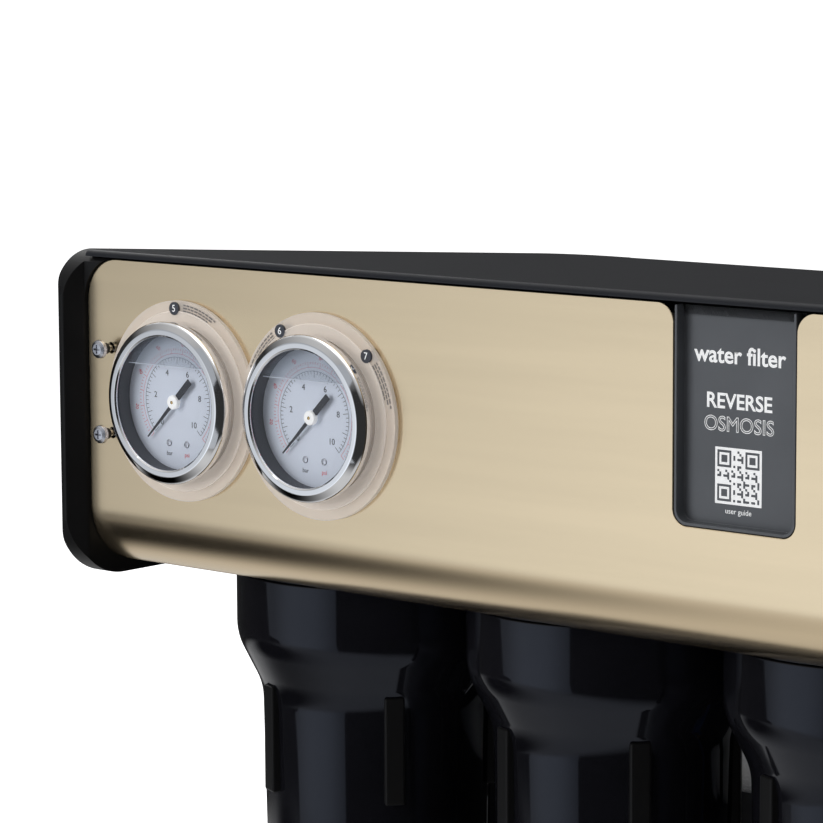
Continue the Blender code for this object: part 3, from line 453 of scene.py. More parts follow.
def cut(body, tool, solver="EXACT"):
    return combine(body, tool, "DIFFERENCE", solver)


def common(body, tool):
    return combine(body, tool, "INTERSECT")


def merged(name, pieces):
    """One mesh made of several pieces."""
    bm = bmesh.new()
    for piece in pieces:
        bm.from_mesh(piece.data)
        bpy.data.objects.remove(piece, do_unlink=True)
    return made_of(name, bm)


def moved(body, matrix):
    body.data.transform(matrix)
    return body


def placed(body, spot, axis="Z", degrees=0.0):
    """Turn a piece's mesh about an axis through the origin, then carry it to a spot."""
    turn = Matrix.Rotation(math.radians(degrees), 4, axis)
    return moved(body, Matrix.Translation(Vector(spot) * MM) @ turn)


def spokes(count, make, spot, axis, first=0.0):
    """Equal pieces round an axis through a spot; make gives each one as it would be at the origin."""
    return [placed(make(), spot, axis, first + 360 / count * step) for step in range(count)]


def tube(name, points, radius, resolution=3):
    curve = bpy.data.curves.new(name, "CURVE")
    curve.dimensions = "3D"
    curve.bevel_depth = radius * MM
    curve.bevel_resolution = resolution
    curve.use_fill_caps = True
    spline = curve.splines.new("POLY")
    spline.points.add(len(points) - 1)
    for point, spot in zip(spline.points, points):
        point.co = (*(Vector(spot) * MM), 1.0)
    return welded(link(name, curve), Matrix.Identity(4), flatten=False)


def bend(points, radius, seg=10):
    """A 3-D path with its inner corners rounded."""
    path = [Vector(points[0])]
    for before, here, after in zip(points, points[1:], points[2:]):
        here = Vector(here)
        back = (Vector(before) - here).normalized()
        ahead = (Vector(after) - here).normalized()
        half = back.angle(ahead) / 2
        reach = radius / math.tan(half)
        centre = here + (back + ahead).normalized() * (radius / math.sin(half))
        start = here + back * reach - centre
        turn = start.cross(here + ahead * reach - centre).normalized()
        sweep = start.angle(here + ahead * reach - centre)
        for k in range(seg + 1):
            path.append(centre + Matrix.Rotation(sweep * k / seg, 3, turn) @ start)
    path.append(Vector(points[-1]))
    return path


def words(name, text, size, x, z, y, turn=0.0, line=0.0, bold=0.0):
    """Flat lettering that faces the front, centred on (x, z); line draws only its outline."""
    curve = bpy.data.curves.new(name, "FONT")
    curve.body = text
    curve.size = size * MM
    curve.align_x = "CENTER"
    curve.align_y = "CENTER"
    curve.resolution_u = 4
    if line:
        curve.fill_mode = "NONE"
        curve.bevel_depth = line * MM
        curve.bevel_resolution = 0
    else:
        curve.extrude = 0.03 * MM
        curve.offset = bold * MM
    facing = Matrix.Translation(Vector((x, y, z)) * MM) @ Matrix.Rotation(math.pi / 2, 4, "X")
    return welded(link(name, curve), facing @ Matrix.Rotation(math.radians(turn), 4, "Z"))


def show(body, paint, rides, *nodes, angle=35):
    """Give a finished piece its paint and its body, and hide the CAD nodes that it stands for."""
    body.data.materials.clear()
    body.data.materials.append(PAINTS[paint])
    body.data.shade_smooth()
    body.data.set_sharp_from_angle(angle=math.radians(angle))
    even = body.modifiers.new("even", "WEIGHTED_NORMAL")
    even.keep_sharp = True
    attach(body, rides)
    if nodes:
        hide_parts(*nodes)


def fixed(body, paint, *nodes, angle=35):
    """Show a piece that stays with the chassis."""
    show(body, paint, "chassis", *nodes, angle=angle)


def soften(body, width, seg=3, angle=35):
    """Round the sharp edges of a cut piece."""
    soft = body.modifiers.new("soft", "BEVEL")
    soft.width = width * MM
    soft.segments = seg
    soft.limit_method = "ANGLE"
    soft.angle_limit = math.radians(angle)
    soft.harden_normals = True
    return body


def dress(node, paint):
    """Keep a CAD node's shape and give it its finish."""
    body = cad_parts[node]
    body.data.materials.clear()
    body.data.materials.append(PAINTS[paint])


def hexagon(name, axis, centre, inner, outer, low, high, paint, edge=0.4):
    """Six-sided nut or collar with softened edges; an inner radius of 0 makes it solid."""
    if inner:
        nut = sleeve(name, axis, centre, inner, outer, low, high, 6)
    else:
        nut = rod(name, axis, centre, outer, low, high, 6)
    fixed(soften(nut, edge, 2), paint)


def cap_screw(name, axis, centre, radius, high, sign=1, rides="chassis"):
    """Round screw head with a hexagon socket; it stands from centre along sign times the axis."""
    head = rod(name.replace("-", "m"), axis, ORIGIN, radius, -0.2, high, 24, radius * 0.25)
    cut(head, rod("socket", axis, ORIGIN, radius * 0.5, high * 0.4, high + 1, 6))
    flip = "X" if axis == "Z" else "Z"
    show(placed(head, centre, flip, 0 if sign > 0 else 180), "zinc_screw", rides)


def top_at(y):
    """Height of the sloping top of the hood at a depth."""
    return TOP_Z - TOP_SLOPE * (y - FACE_Y)


# Hood -----------------------------------------------------------------------


def make_cheek(side, node):
    """Moulded end cap; side is 1 on the right and -1 on the left."""
    outer = side * HALF_WIDTH
    inner = side * INNER
    back = BACK_Y - LIP_DEPTH
    plan = [(outer, FRONT_Y, 3.9), (outer, BACK_Y, 25), (side * LIP_X, BACK_Y), (side * LIP_X, back)]
    plan += [(inner, back, 15), (inner, FACE_Y - 1.5, 4), (inner + side * 5, FRONT_Y, 1.2)]
    body = flat(f"{node}_moulding", rounded(plan), "Z", HOOD_BOTTOM - 10, TOP_Z + 10)
    far = BACK_Y + 5
    view = [(FRONT_Y, HOOD_BOTTOM, 29), (far, HOOD_BOTTOM), (far, top_at(far))]
    view = rounded(view + [(FRONT_Y, top_at(FRONT_Y), 21)], 20)
    common(body, flat("side_view", view, "X", -300, 300))
    # The web follows the rounded top corner of the gold sheet
    centre_x = side * (INNER - CORNER_R)
    web_top = PANEL_TOP + GAP
    start, end = (90, 0) if side > 0 else (90, 180)
    web = arc(centre_x, web_top - CORNER_R, CORNER_R, start, end, 20)
    web += [(inner + side * 4, web_top - CORNER_R), (inner + side * 4, web_top)]
    web = flat("web", web, "Y", FACE_Y - 1.5, FACE_Y + 2)
    join(body, common(web, flat("side_view", view, "X", -300, 300)))
    fixed(soften(body, 1.3), "moulded_cheek", node)
    for y, z in PLUGS:
        name = f"{node}_plug_{y}_{z}".replace("-", "m")
        plug = turned(name, [(0, -0.2), (5.5, -0.2), (6, 0.7), (0, 0.9)], "X", ORIGIN, 32)
        fixed(placed(plug, (outer, y, z), "Z", 0 if side > 0 else 180), "inlet_plastic")


def make_cover():
    """Sloping lid with a short lip down its back."""
    lip_z = top_at(BACK_Y) - 15
    outline = [
        (FACE_Y - 1, PANEL_TOP + 0.8, 0.4),
        (FACE_Y - 1, top_at(FACE_Y - 1), 2.6),
        (BACK_Y, top_at(BACK_Y), 3),
        (BACK_Y, lip_z, 0.4),
        (BACK_Y - 2, lip_z, 0.4),
        (BACK_Y - 2, top_at(BACK_Y - 2) - 2, 1),
        (FACE_Y + 1, top_at(FACE_Y + 1) - 2, 0.6),
        (FACE_Y + 1, PANEL_TOP + 0.8, 0.4),
    ]
    cover = flat("top_cover_sheet", rounded(outline, 6), "X", -PANEL_X, PANEL_X)
    back = BACK_Y - LIP_DEPTH - GAP
    lip = LIP_X - GAP
    half = [(lip, BACK_Y + 5), (lip, back), (PANEL_X, back, 14.7), (PANEL_X, FRONT_Y)]
    plan = half + [(-corner[0], *corner[1:]) for corner in reversed(half)]
    common(cover, flat("plan", rounded(plan, 12), "Z", 400, 520))
    # The top cover takes the darker copy of the black paint: painted shade.
    fixed(soften(cover, 0.5, 2), "shaded_cover_paint", "top_cover")


def make_front_panel():
    """Gold sheet, rolled under at the bottom, with a notch for the label and holes for the gauges."""
    roll_y = FACE_Y + ROLL_R
    low_z = ROLL_Z - ROLL_R
    section = [(FACE_Y, PANEL_TOP)] + arc(roll_y, ROLL_Z, ROLL_R, 180, 270, 36)
    section += [(roll_y + 3.5, low_z), (roll_y + 3.5, low_z + SHEET)]
    section += arc(roll_y, ROLL_Z, ROLL_R - SHEET, 270, 180, 36) + [(FACE_Y + SHEET, PANEL_TOP)]
    panel = flat("front_panel_sheet", section, "X", -PANEL_X, PANEL_X)
    left, right, bottom = NOTCH
    front = [
        (-PANEL_X, low_z - 10),
        (PANEL_X, low_z - 10),
        (PANEL_X, PANEL_TOP, CORNER_R - GAP),
        (right, PANEL_TOP, 8),
        (right, bottom, 6),
        (left, bottom, 6),
        (left, PANEL_TOP, 8),
        (-PANEL_X, PANEL_TOP, CORNER_R - GAP),
    ]
    common(panel, flat("front", rounded(front, 12), "Y", FACE_Y - 10, FACE_Y + 60))
    depth = (FACE_Y - 5, FACE_Y + 5)
    holes = [rod("hole", "Y", (x, 0, z), GAUGE_HOLE_R, *depth, 96) for x, z in GAUGES.values()]
    holes += [rod("hole", "Y", (x, 0, z), 2.3, *depth) for x, _, z in map(middle, SCREWS)]
    cut(panel, merged("holes", holes))
    fixed(soften(panel, 0.3, 2, 50), "gold_steel", "front_panel")


def make_label():
    """Recessed tray in the panel's notch, with its print."""
    left, right, bottom = NOTCH[0] + GAP, NOTCH[1] - GAP, NOTCH[2] + GAP
    top = PANEL_TOP - 0.6
    rim = 1.2
    inside = (left + rim, right - rim)
    outline = rounded([(left, top), (left, bottom, 5.7), (right, bottom, 5.7), (right, top)])
    well = [(inside[0], top + 5), (inside[0], bottom + rim, 4.5)]
    well += [(inside[1], bottom + rim, 4.5), (inside[1], top + 5)]
    tray = flat("label_tray", outline, "Y", FACE_Y + 0.2, LABEL_Y + 2)
    cut(tray, flat("well", rounded(well), "Y", FACE_Y - 5, LABEL_Y))
    nose = [(LABEL_Y - 1, top + 1), (LABEL_Y + 0.01, top - 4), (LABEL_Y + 0.3, top - 2.2)]
    nose += [(LABEL_Y + 1.2, top - 1.2), (LABEL_Y + 3, top + 1)]
    cut(tray, flat("nose", nose, "X", left - 5, right + 5))
    flange_y = FACE_Y + SHEET + GAP
    for wide in ((left - 8, left + 0.6), (right - 0.6, right + 8)):
        join(tray, block("flange", wide, (flange_y, flange_y + SHEET), (bottom + 8, top - 12)))
    fixed(soften(tray, 0.25, 2), "label_plate", "label_plate")
    ink_y = LABEL_Y - 0.05
    x = 128.6
    lines = [
        words("headline", "water filter", 9.1, x + 0.2, 455.8, ink_y, bold=0.17),
        words("second_line", "REVERSE", 8.0, x, 438.6, ink_y, bold=0.15),
        words("third_line", "OSMOSIS", 7.9, x, 430.0, ink_y, line=0.15),
        words("caption", "user guide", 2.9, x, 397.8, ink_y),
    ]
    fixed(merged("label_print", lines), "print_white")
    make_pattern(117.9, 400.4, 21.2, ink_y)


def make_pattern(x, z, size, y):
    """White square with a woven pattern of cells and three framed corners; it holds no data."""
    fixed(block("label_square", (x, x + size), (y, y + 0.04), (z, z + size)), "print_white")
    margin = 1.0
    count = 21
    frame_side = 7
    cell = (size - 2 * margin) / count
    corners = ((0, 0), (0, count - frame_side), (count - frame_side, count - frame_side))
    # Column, row, width and height of the strokes and the heart of a framed corner
    strokes = ((0, 0, 7, 1), (0, 6, 7, 1), (0, 1, 1, 5), (6, 1, 1, 5), (2, 2, 3, 3))
    cells = []

    def tile(column, row, wide=1, tall=1):
        u = x + margin + column * cell
        v = z + margin + row * cell
        cells.append(block("cell", (u, u + wide * cell), (y - 0.03, y - 0.005), (v, v + tall * cell)))

    for column, row in corners:
        for right, up, wide, tall in strokes:
            tile(column + right, row + up, wide, tall)
    for column in range(count):
        for row in range(count):
            framed = any(-1 <= column - a <= frame_side and -1 <= row - b <= frame_side for a, b in corners)
            if not framed and (column * column + 3 * row + 2 * column * row) % 7 < 3:
                tile(column, row)
    fixed(merged("label_pattern", cells), "label_plate")


def make_ring_plate():
    """Figure-eight plate round the gauges, with a raised ring about each and three numbered badges."""
    back = FACE_Y - GAP
    (left_x, z), (right_x, _) = GAUGES["left"], GAUGES["right"]
    centre = (left_x + right_x) / 2
    reach = (right_x - left_x) / 2
    radius = 42.5
    base_y = back - 2.25
    cusp = math.degrees(math.acos(reach / radius))
    outline = arc(centre - reach, z, radius, cusp, 360 - cusp, 120)
    outline += arc(centre + reach, z, radius, cusp - 180, 180 - cusp, 120)[1:-1]
    holes = [arc(x, z, GAUGE_HOLE_R, 0, 357, 119) for x in (left_x, right_x)]
    plate = flat("ring_plate_base", outline, "Y", back - 2.2, back, holes, soft=0.35)
    fixed(plate, "ring_acrylic", "ring_plate")
    for name, x in (("left", left_x), ("right", right_x)):
        profile = [(32.4, base_y), (38.2, base_y), (38.2, RING_Y + 0.3), (37.8, RING_Y), (32.4, RING_Y)]
        step = turned(f"ring_step_{name}", profile, "Y", (x, 0, z), 120, ring=True, fillet=0.15)
        fixed(step, "ring_acrylic")
    for digit, x, angle, out, way in (
        ("5", left_x, 93, 39.2, -1),
        ("6", right_x, 120, 39.0, 1),
        ("7", right_x, 44, 38.6, -1),
    ):
        u, v = on_circle(x, z, out, angle)
        badge = rod(f"badge_{digit}", "Y", (u, 0, v), 2.75, RING_Y - 0.12, RING_Y + 0.9, 40, 0.05)
        fixed(badge, "print_black")
        fixed(words(f"badge_digit_{digit}", digit, 4.2, u, v, RING_Y - 0.16), "print_white")
        make_dashes(digit, x, z, angle + way * 7, way)


def make_dashes(digit, x, z, first, way):
    """Three curved rows of dashes beside a badge, in place of a caption; way is the side they run to."""
    dashes = []
    for row in range(3):
        angle = first
        radius = 40.9 - 1.25 * row
        for k in range(9 - row):
            half = (1.3 + 0.9 * ((k * 5 + row * 3) % 4) / 3) / 2
            angle += way * math.degrees(half / 40)
            dash = block("dash", (-half, half), (RING_Y + 0.72, RING_Y + 0.79), (-0.33, 0.33))
            u, v = on_circle(x, z, radius, angle)
            dashes.append(placed(dash, (u, 0, v), "Y", 90 - angle))
            angle += way * math.degrees((half + 0.5) / 40)
    fixed(merged(f"ring_marks_{digit}", dashes), "print_grey")


def make_panel_screws():
    """Cross-recess screws that stand off the panel on short sleeves."""
    for node in SCREWS:
        x, _, z = middle(node)
        spot = (x, 0, z)
        front = span(node)[1][0]
        profile = [(0, front), (2.4, front + 0.1), (3.8, front + 0.9), (4.1, front + 2.6), (0, front + 2.6)]
        head = turned(f"{node}_head", profile, "Y", spot, 48, fillet=0.25)
        for wide, tall in ((1.9, 0.4), (0.4, 1.9)):
            cut(head, block("slot", (x - wide, x + wide), (front - 1, front + 1.3), (z - tall, z + tall)))
        fixed(head, "zinc_screw", node)
        fixed(rod(f"{node}_sleeve", "Y", spot, 2.4, front + 2.5, front + 6.0, 40, 0.2), "inlet_plastic")
        fixed(rod(f"{node}_shank", "Y", spot, 1.5, front + 5.8, FACE_Y + SHEET), "chrome")


# Gauges ---------------------------------------------------------------------


def make_gauge(side):
    x, z = GAUGES[side]
    spot = (x, 0, z)
    lip = FACE_Y - 9.7
    case = [(30.8, lip), (31.7, lip + 0.8), (31.7, -135), (8, -135), (8, -133), (5.2, -133), (5.2, -137)]
    case += [(30, -137), (30, lip)]
    case = turned(f"gauge_case_{side}_shell", case, "Y", spot, 96, ring=True)
    fixed(case, "chrome", f"gauge_case_{side}")
    bezel = [
        (28.2, FACE_Y - 12.4, 0.3),
        (28.9, FACE_Y - 13.0, 0.4),
        (31.0, FACE_Y - 13.0, 1.5),
        (34.35, FACE_Y - 11.2, 2.0),
        (34.35, FACE_Y - 8.0, 1.6),
        (33.0, FACE_Y - 6.4, 0.5),
        (32.0, FACE_Y - 6.4, 0),
        (32.0, lip - GAP, 0),
        (30.8, lip - GAP, 0),
        (30.8, FACE_Y - 11.8, 0),
        (28.2, FACE_Y - 11.8, 0),
    ]
    bezel = turned(f"gauge_bezel_{side}_rim", bezel, "Y", spot, 128, ring=True, seg=6)
    fixed(bezel, "chrome", f"gauge_bezel_{side}", angle=50)
    seal_y = FACE_Y - 11.9
    seal = [(28.4, seal_y), (29.9, seal_y), (29.9, DIAL_Y - 0.1), (28.8, DIAL_Y - 0.1), (28.8, seal_y + 1.5)]
    fixed(turned(f"gauge_seal_{side}", seal, "Y", spot, 96, ring=True, fillet=0.1), "print_black")
    glass = rod(f"gauge_glass_{side}_pane", "Y", spot, 28.7, FACE_Y - 11.5, lip - GAP, 96)
    fixed(glass, "clear_glass", f"gauge_glass_{side}")
    dial = sleeve(f"gauge_dial_{side}_plate", "Y", spot, 1.6, 29, DIAL_Y, DIAL_Y + 1, 96, 0.1)
    fixed(dial, "dial_white", f"gauge_dial_{side}")
    make_air_gap(side, x, z)
    make_dial_print(side, x, z)
    make_needle(side, spot)
    make_stem(side, spot)


def make_air_gap(side, x, z):
    """The filling stops short of the top: a bluish see-through sheet paints shade on the crescent above it,
    and a white line along its lower edge is a painted highlight on the filling's surface.
    """
    radius = 28.6
    start = math.degrees(math.asin(FILLED_TO / radius))
    crescent = arc(x, z, radius, start, 180 - start, 48)
    # Painted shade: the sheet darkens the dial in the air gap.
    fixed(flat(f"gauge_air_shade_{side}", crescent, "Y", DIAL_Y - 4.8, DIAL_Y - 4.6), "air_gap_shade")
    half = radius * math.cos(math.radians(start))
    edge = [(x + dx, DIAL_Y - 4.7, z + FILLED_TO) for dx in (-half, half)]
    # Painted highlight: a white line along the filling's surface.
    fixed(tube(f"gauge_level_glint_{side}", edge, 0.2, 1), "dial_white")


# Number of steps, inner, short and outer radius of the ticks, their width, and the arc's radius and width
BAR_SCALE = (50, 16.0, 17.4, 18.9, 0.2, 18.8, 0.16)
PSI_SCALE = (75, 20.4, 21.6, 22.6, 0.18, 20.3, 0.14)


def scale_lines(scale, x, z, y):
    """Ticks from 225 degrees round to -45, every fifth one long, and the arc that joins them."""
    count, inner, short, outer, wide, radius, thick = scale
    lines = []
    for k in range(count + 1):
        low = inner if k % 5 == 0 else short
        line = block("tick", (-wide / 2, wide / 2), (y - 0.02, y), (low, outer))
        lines.append(placed(line, (x, 0, z), "Y", 270 * k / count - 135))
    line = arc(x, z, radius + thick, 225, -45, 72) + arc(x, z, radius, -45, 225, 72)
    return lines + [flat("arc", line, "Y", y - 0.02, y)]


def make_dial_print(side, x, z):
    """Scale from 0 to 10 bar in black, and the same in psi, in red outside it."""
    y = DIAL_Y - 0.06
    black = scale_lines(BAR_SCALE, x, z, y)
    for bar in range(0, 11, 2):
        black.append(words("number", str(bar), 3.6, *on_circle(x, z, 13.2, 225 - 27 * bar), y))
    red = scale_lines(PSI_SCALE, x, z, y)
    for psi in range(20, 141, 20):
        angle = 225 - 270 * psi / 150
        red.append(words("number", str(psi), 2.4, *on_circle(x, z, 24.6, angle), y, 90 - angle))
    apart = 5.2
    black.append(words("unit", "bar", 2.6, x - apart, z - 22.3, y))
    red.append(words("unit", "psi", 2.6, x + apart, z - 22.3, y))
    fixed(merged(f"dial_print_black_{side}", black), "print_black")
    fixed(merged(f"dial_print_red_{side}", red), "print_red")
    for name, dx in (("left", -apart), ("right", apart)):
        stud = [(0, y - 0.5), (1.3, y - 0.4), (1.6, y), (0, y)]
        fixed(turned(f"dial_stud_{side}_{name}", stud, "Y", (x + dx, 0, z - 17.8), 32), "zinc_screw")


def make_needle(side, spot):
    """Needle, hub and pin; the CAD's rest pose points at 0, to the lower left."""
    outline = [(0.8, 2.4), (0.25, 22.4), (-0.25, 22.4), (-0.8, 2.4), (-0.9, -2.5), (-1.4, -3.2)]
    outline += [(-1.4, -13.2), (1.4, -13.2), (1.4, -3.2), (0.9, -2.5)]
    needle = flat(f"gauge_needle_{side}_hand", outline, "Y", DIAL_Y - 2.5, DIAL_Y - 1.9, soft=0.08)
    show(placed(needle, spot, "Y", -135), "needle_black", f"needle_{side}", f"gauge_needle_{side}")
    hub = [(0, -3.7), (2.7, -3.5), (3.0, -3.1), (3.0, -1.4), (1.2, -1.4), (1.2, 1.6), (0, 1.6)]
    hub = [(r, DIAL_Y + h) for r, h in hub]
    hub = turned(f"gauge_hub_{side}", hub, "Y", spot, 48, fillet=0.2)
    show(hub, "print_white", f"needle_{side}")
    pin = [(0, DIAL_Y - 3.95), (0.7, DIAL_Y - 3.9), (0.8, DIAL_Y - 3.5), (0, DIAL_Y - 3.5)]
    show(turned(f"gauge_pin_{side}", pin, "Y", spot, 24), "brass", f"needle_{side}")


def make_stem(side, spot):
    """Threaded stem behind the case, with its nut."""
    stem = [(3, -119), (3, -130), (0, -130), (0, -141), (4.8, -141), (4.8, -132.7)]
    stem += [(7.5, -132.7), (7.5, -126.8), (6.5, -126.2), (5.9, -125.6)]
    for k in range(5):
        stem += [(6.5, -125 + k * 1.3), (5.9, -124.4 + k * 1.3)]
    stem += [(6.5, -119)]
    stem = turned(f"gauge_stem_{side}_thread", stem, "Y", spot, 40, ring=True, fillet=0.15)
    fixed(stem, "brass", f"gauge_stem_{side}")
    hexagon(f"gauge_nut_{side}", "Y", spot, 7.4, 10.4, -132.6, -127, "brass", 0.5)


# Filter housings ------------------------------------------------------------


def make_head(k):
    x, y = BOWLS[k]
    node = f"filter_head_{k}"
    skirt = RIM_Z + GAP
    profile = [
        (0, 402),
        (40, 402, 1),
        (40, 393, 2),
        (52, 388, 3),
        (59.5, 379, 4),
        (61.6, 370, 2),
        (61.6, skirt, 0.6),
        (55.2, skirt, 0.4),
        (55.2, 360, 0.5),
        (46, 360, 0.5),
        (46, 383, 1),
        (16, 383, 1),
        (14, 338.3, 0.4),
        (9.5, 338.3, 0.4),
        (9.5, 380, 0.5),
        (0, 380),
    ]
    head = turned(f"{node}_cap", profile, "Z", (x, y, 0), 96, seg=4)
    port = (0, y, PORT_Z)
    for low, high in ((x - 65.9, x - 57), (x + 57, x + 65.9)):
        join(head, rod("boss", "X", port, 15, low, high, 48, 0.8))
    for low, high in ((x - 70, x - 43), (x + 51.3, x + 70)):
        cut(head, rod("socket", "X", port, 10.6, low, high, 40), "MANIFOLD")
    for rib in spokes(8, lambda: block("rib", (41, 58), (-1.4, 1.4), (374, 386), 0.5), (x, y, 0), "Z", 22.5):
        join(head, rib)
    fixed(head, "black_plastic", node, angle=30)
    for name, dx in (("left", -22), ("right", 22)):
        cap_screw(f"{node}_bolt_{name}", "Z", (x + dx, y, 404.3), 5.0, 5.0)


def make_bowl(k):
    """Bowl with its threaded skirt, grip ribs, the lugs under it, and the seal and cartridge inside."""
    x, y = BOWLS[k]
    spot = (x, y, 0)
    node = f"filter_bowl_{k}"
    profile = [
        (0, 77),
        (30, 77.6, 3),
        (36, 80.5, 4),
        (46.9, 96, 9),
        (50.4, 285.0, 28),
        (61.6, 307.5, 26),
        (61.6, RIM_Z, 0.8),
        (54.5, RIM_Z, 0.4),
    ]
    for turn in range(4):
        low = RIM_Z + 2.5 + 4.2 * turn
        profile += [(53.4, low, 0.2), (54.6, low + 1.1, 0.3), (54.6, low + 2.0, 0.3), (53.4, low + 3.1, 0.2)]
    profile += [
        (53.4, 356.5, 0.5),
        (50.5, 357, 0.3),
        (50.5, 312, 2),
        (47, 286, 2),
        (43.6, 96, 2),
        (32, 82.5, 2),
        (14, 82, 0.5),
        (14, 86.2, 0.3),
        (0, 86.2),
    ]
    bowl = turned(f"{node}_shell", profile, "Z", spot, 128, seg=6)
    show(bowl, "black_plastic", f"bowl_{k}", node, angle=30)
    ribs = spokes(5, lambda: block("rib", (47.0, 53.2), (-4.4, 4.4), (241, 288), 1.1, 3), spot, "Z", -40)
    show(merged(f"{node}_ribs", ribs), "moulded_cheek", f"bowl_{k}")
    lugs = spokes(8, lambda: block("lug", (20, 33.5), (-1.6, 1.6), (77.4, 82), 0.5), spot, "Z")
    boss = turned("boss", [(0, 77.2), (13, 77.2), (14, 79.5), (0, 79.5)], "Z", spot, 48)
    show(merged(f"{node}_lugs", lugs + [boss]), "black_plastic", f"bowl_{k}")
    seal = [(54.5, 337.4), (55.0, 337.9), (54.5, 338.6), (53.5, 338.4)]
    show(turned(f"{node}_o_ring", seal, "Z", spot, 96, ring=True), "rubber", f"bowl_{k}")
    dress(f"filter_cartridge_{k}", "filter_media")


# Chassis --------------------------------------------------------------------


def make_tray():
    (left, right), (front, back), (low, high) = span("base_tray")
    floor = rectangle((left, right), (front, back), 8)
    slots = [rectangle((x - 18, x + 18), (-74, -68), 3, 6) for x in (-120, -60, 0, 60, 120)]
    tray = flat("base_tray_floor", floor, "Z", low, low + SHEET, slots, soft=0.3)
    fixed(tray, "black_paint", "base_tray")
    inside = rectangle((left + SHEET, right - SHEET), (front + SHEET, back - SHEET), 6.5)
    fixed(flat("base_tray_wall", floor, "Z", low + 0.3, high, [inside], soft=0.3), "black_paint")


def make_feet():
    for k in range(1, 5):
        x, y, _ = middle(f"foot_{k}")
        profile = [(0, 4), (5, 4, 0.5), (5, 0, 0.4), (13, 0, 0.8), (15, 1.5, 0.6), (14.4, 8, 1)]
        profile += [(13.5, 15.2, 0.5), (0, 15.2)]
        fixed(turned(f"foot_{k}_pad", profile, "Z", (x, y, 0), 64), "rubber", f"foot_{k}")
        washer = [(0, 3.0), (4.2, 3.0), (4.6, 4.0), (0, 4.0)]
        fixed(turned(f"foot_{k}_washer", washer, "Z", (x, y, 0), 32), "zinc_screw")
        cap_screw(f"foot_{k}_bolt", "Z", (x, y, 17.2), 4.2, 3.2)


def make_back_plate():
    """Sheet with two keyholes to hang the unit by, and louvres behind the pump."""
    wide, (front, back), tall = span("back_plate")
    holes = []
    for x in (-130, 130):
        keyhole = arc(x, 395, 5.5, 120.6, 419.4, 30)
        holes.append([(x - 2.8, 411)] + keyhole + [(x + 2.8, 411)])
    holes += [rectangle((-60, 60), (z, z + 6), 3, 6) for z in LOUVRES]
    plate = flat("back_plate_sheet", rectangle(wide, tall, 6), "Y", front, back, holes, soft=0.3)
    fixed(plate, "black_paint", "back_plate")
    for z in LOUVRES:
        hood = rounded([(-58, z + 7, 2), (58, z + 7, 2), (56, z + 12, 2), (-56, z + 12, 2)], 4)
        fixed(flat(f"louvre_{z}", hood, "Y", back - 0.4, back + 1.6, soft=0.6), "black_paint")
    for x in (-180, 180):
        for z in (40, 150, 290, 425):
            cap_screw(f"back_screw_{x}_{z}", "Y", (x, back, z), 3.6, 2.2)


def make_side_panel(side, node):
    """Side sheet with a grip hole; the ports are on the right, the mains inlet and slots on the left."""
    wall = span(node)[0]
    outline = [(14, 17.5, 4), (164.4, 17.5, 0.5), (164.4, 440, 4)]
    outline += [(-108, 440, 6), (-108, 393, 6), (14, 393, 14)]
    holes = [rectangle((40, 140), (295, 370), 10)]
    if side > 0:
        ports = ((FEED_Y, FEED_Z), (DRAIN_Y, DRAIN_Z), (VESSEL_Y, VESSEL_Z))
        holes += [arc(y, z, 8.5, 0, 352.5, 47) for y, z in ports]
    else:
        holes.append([(85.5, 124.5), (114.5, 124.5), (114.5, 175.5), (85.5, 175.5)])
        holes += [rectangle((50, 110), (z, z + 5), 2.4, 5) for z in range(50, 110, 12)]
    panel = flat(f"{node}_sheet", rounded(outline), "X", *wall, holes, soft=0.3)
    fixed(panel, "black_paint", node)
    outer = wall[1] if side > 0 else wall[0]
    for y, z in ((25, 30), (150, 30), (150, 230), (150, 385), (25, 385), (-98, 408)):
        cap_screw(f"{node}_screw_{y}_{z}", "X", (outer, y, z), 3.6, 2.2, side)


def make_rail():
    """Channel that carries the filter heads, with two lightening slots."""
    wide, (front, back), (low, high) = span("head_rail")
    t = 2
    section = [(front, low, 2.2), (back, low, 2.2), (back, high), (back - t, high), (back - t, low + t, 0.8)]
    section += [(front + t, low + t, 0.8), (front + t, high), (front, high)]
    rail = flat("head_rail_channel", rounded(section, 5), "X", *wide, soft=0.25)
    y = (front + back) / 2
    slots = [rectangle((x - 20, x + 20), (y - 8, y + 8), 7) for x in (-66, 66)]
    cut(rail, merged("slots", [flat("slot", slot, "Z", low - 5, low + 8) for slot in slots]))
    fixed(rail, "black_paint", "head_rail")


# Membrane stage -------------------------------------------------------------


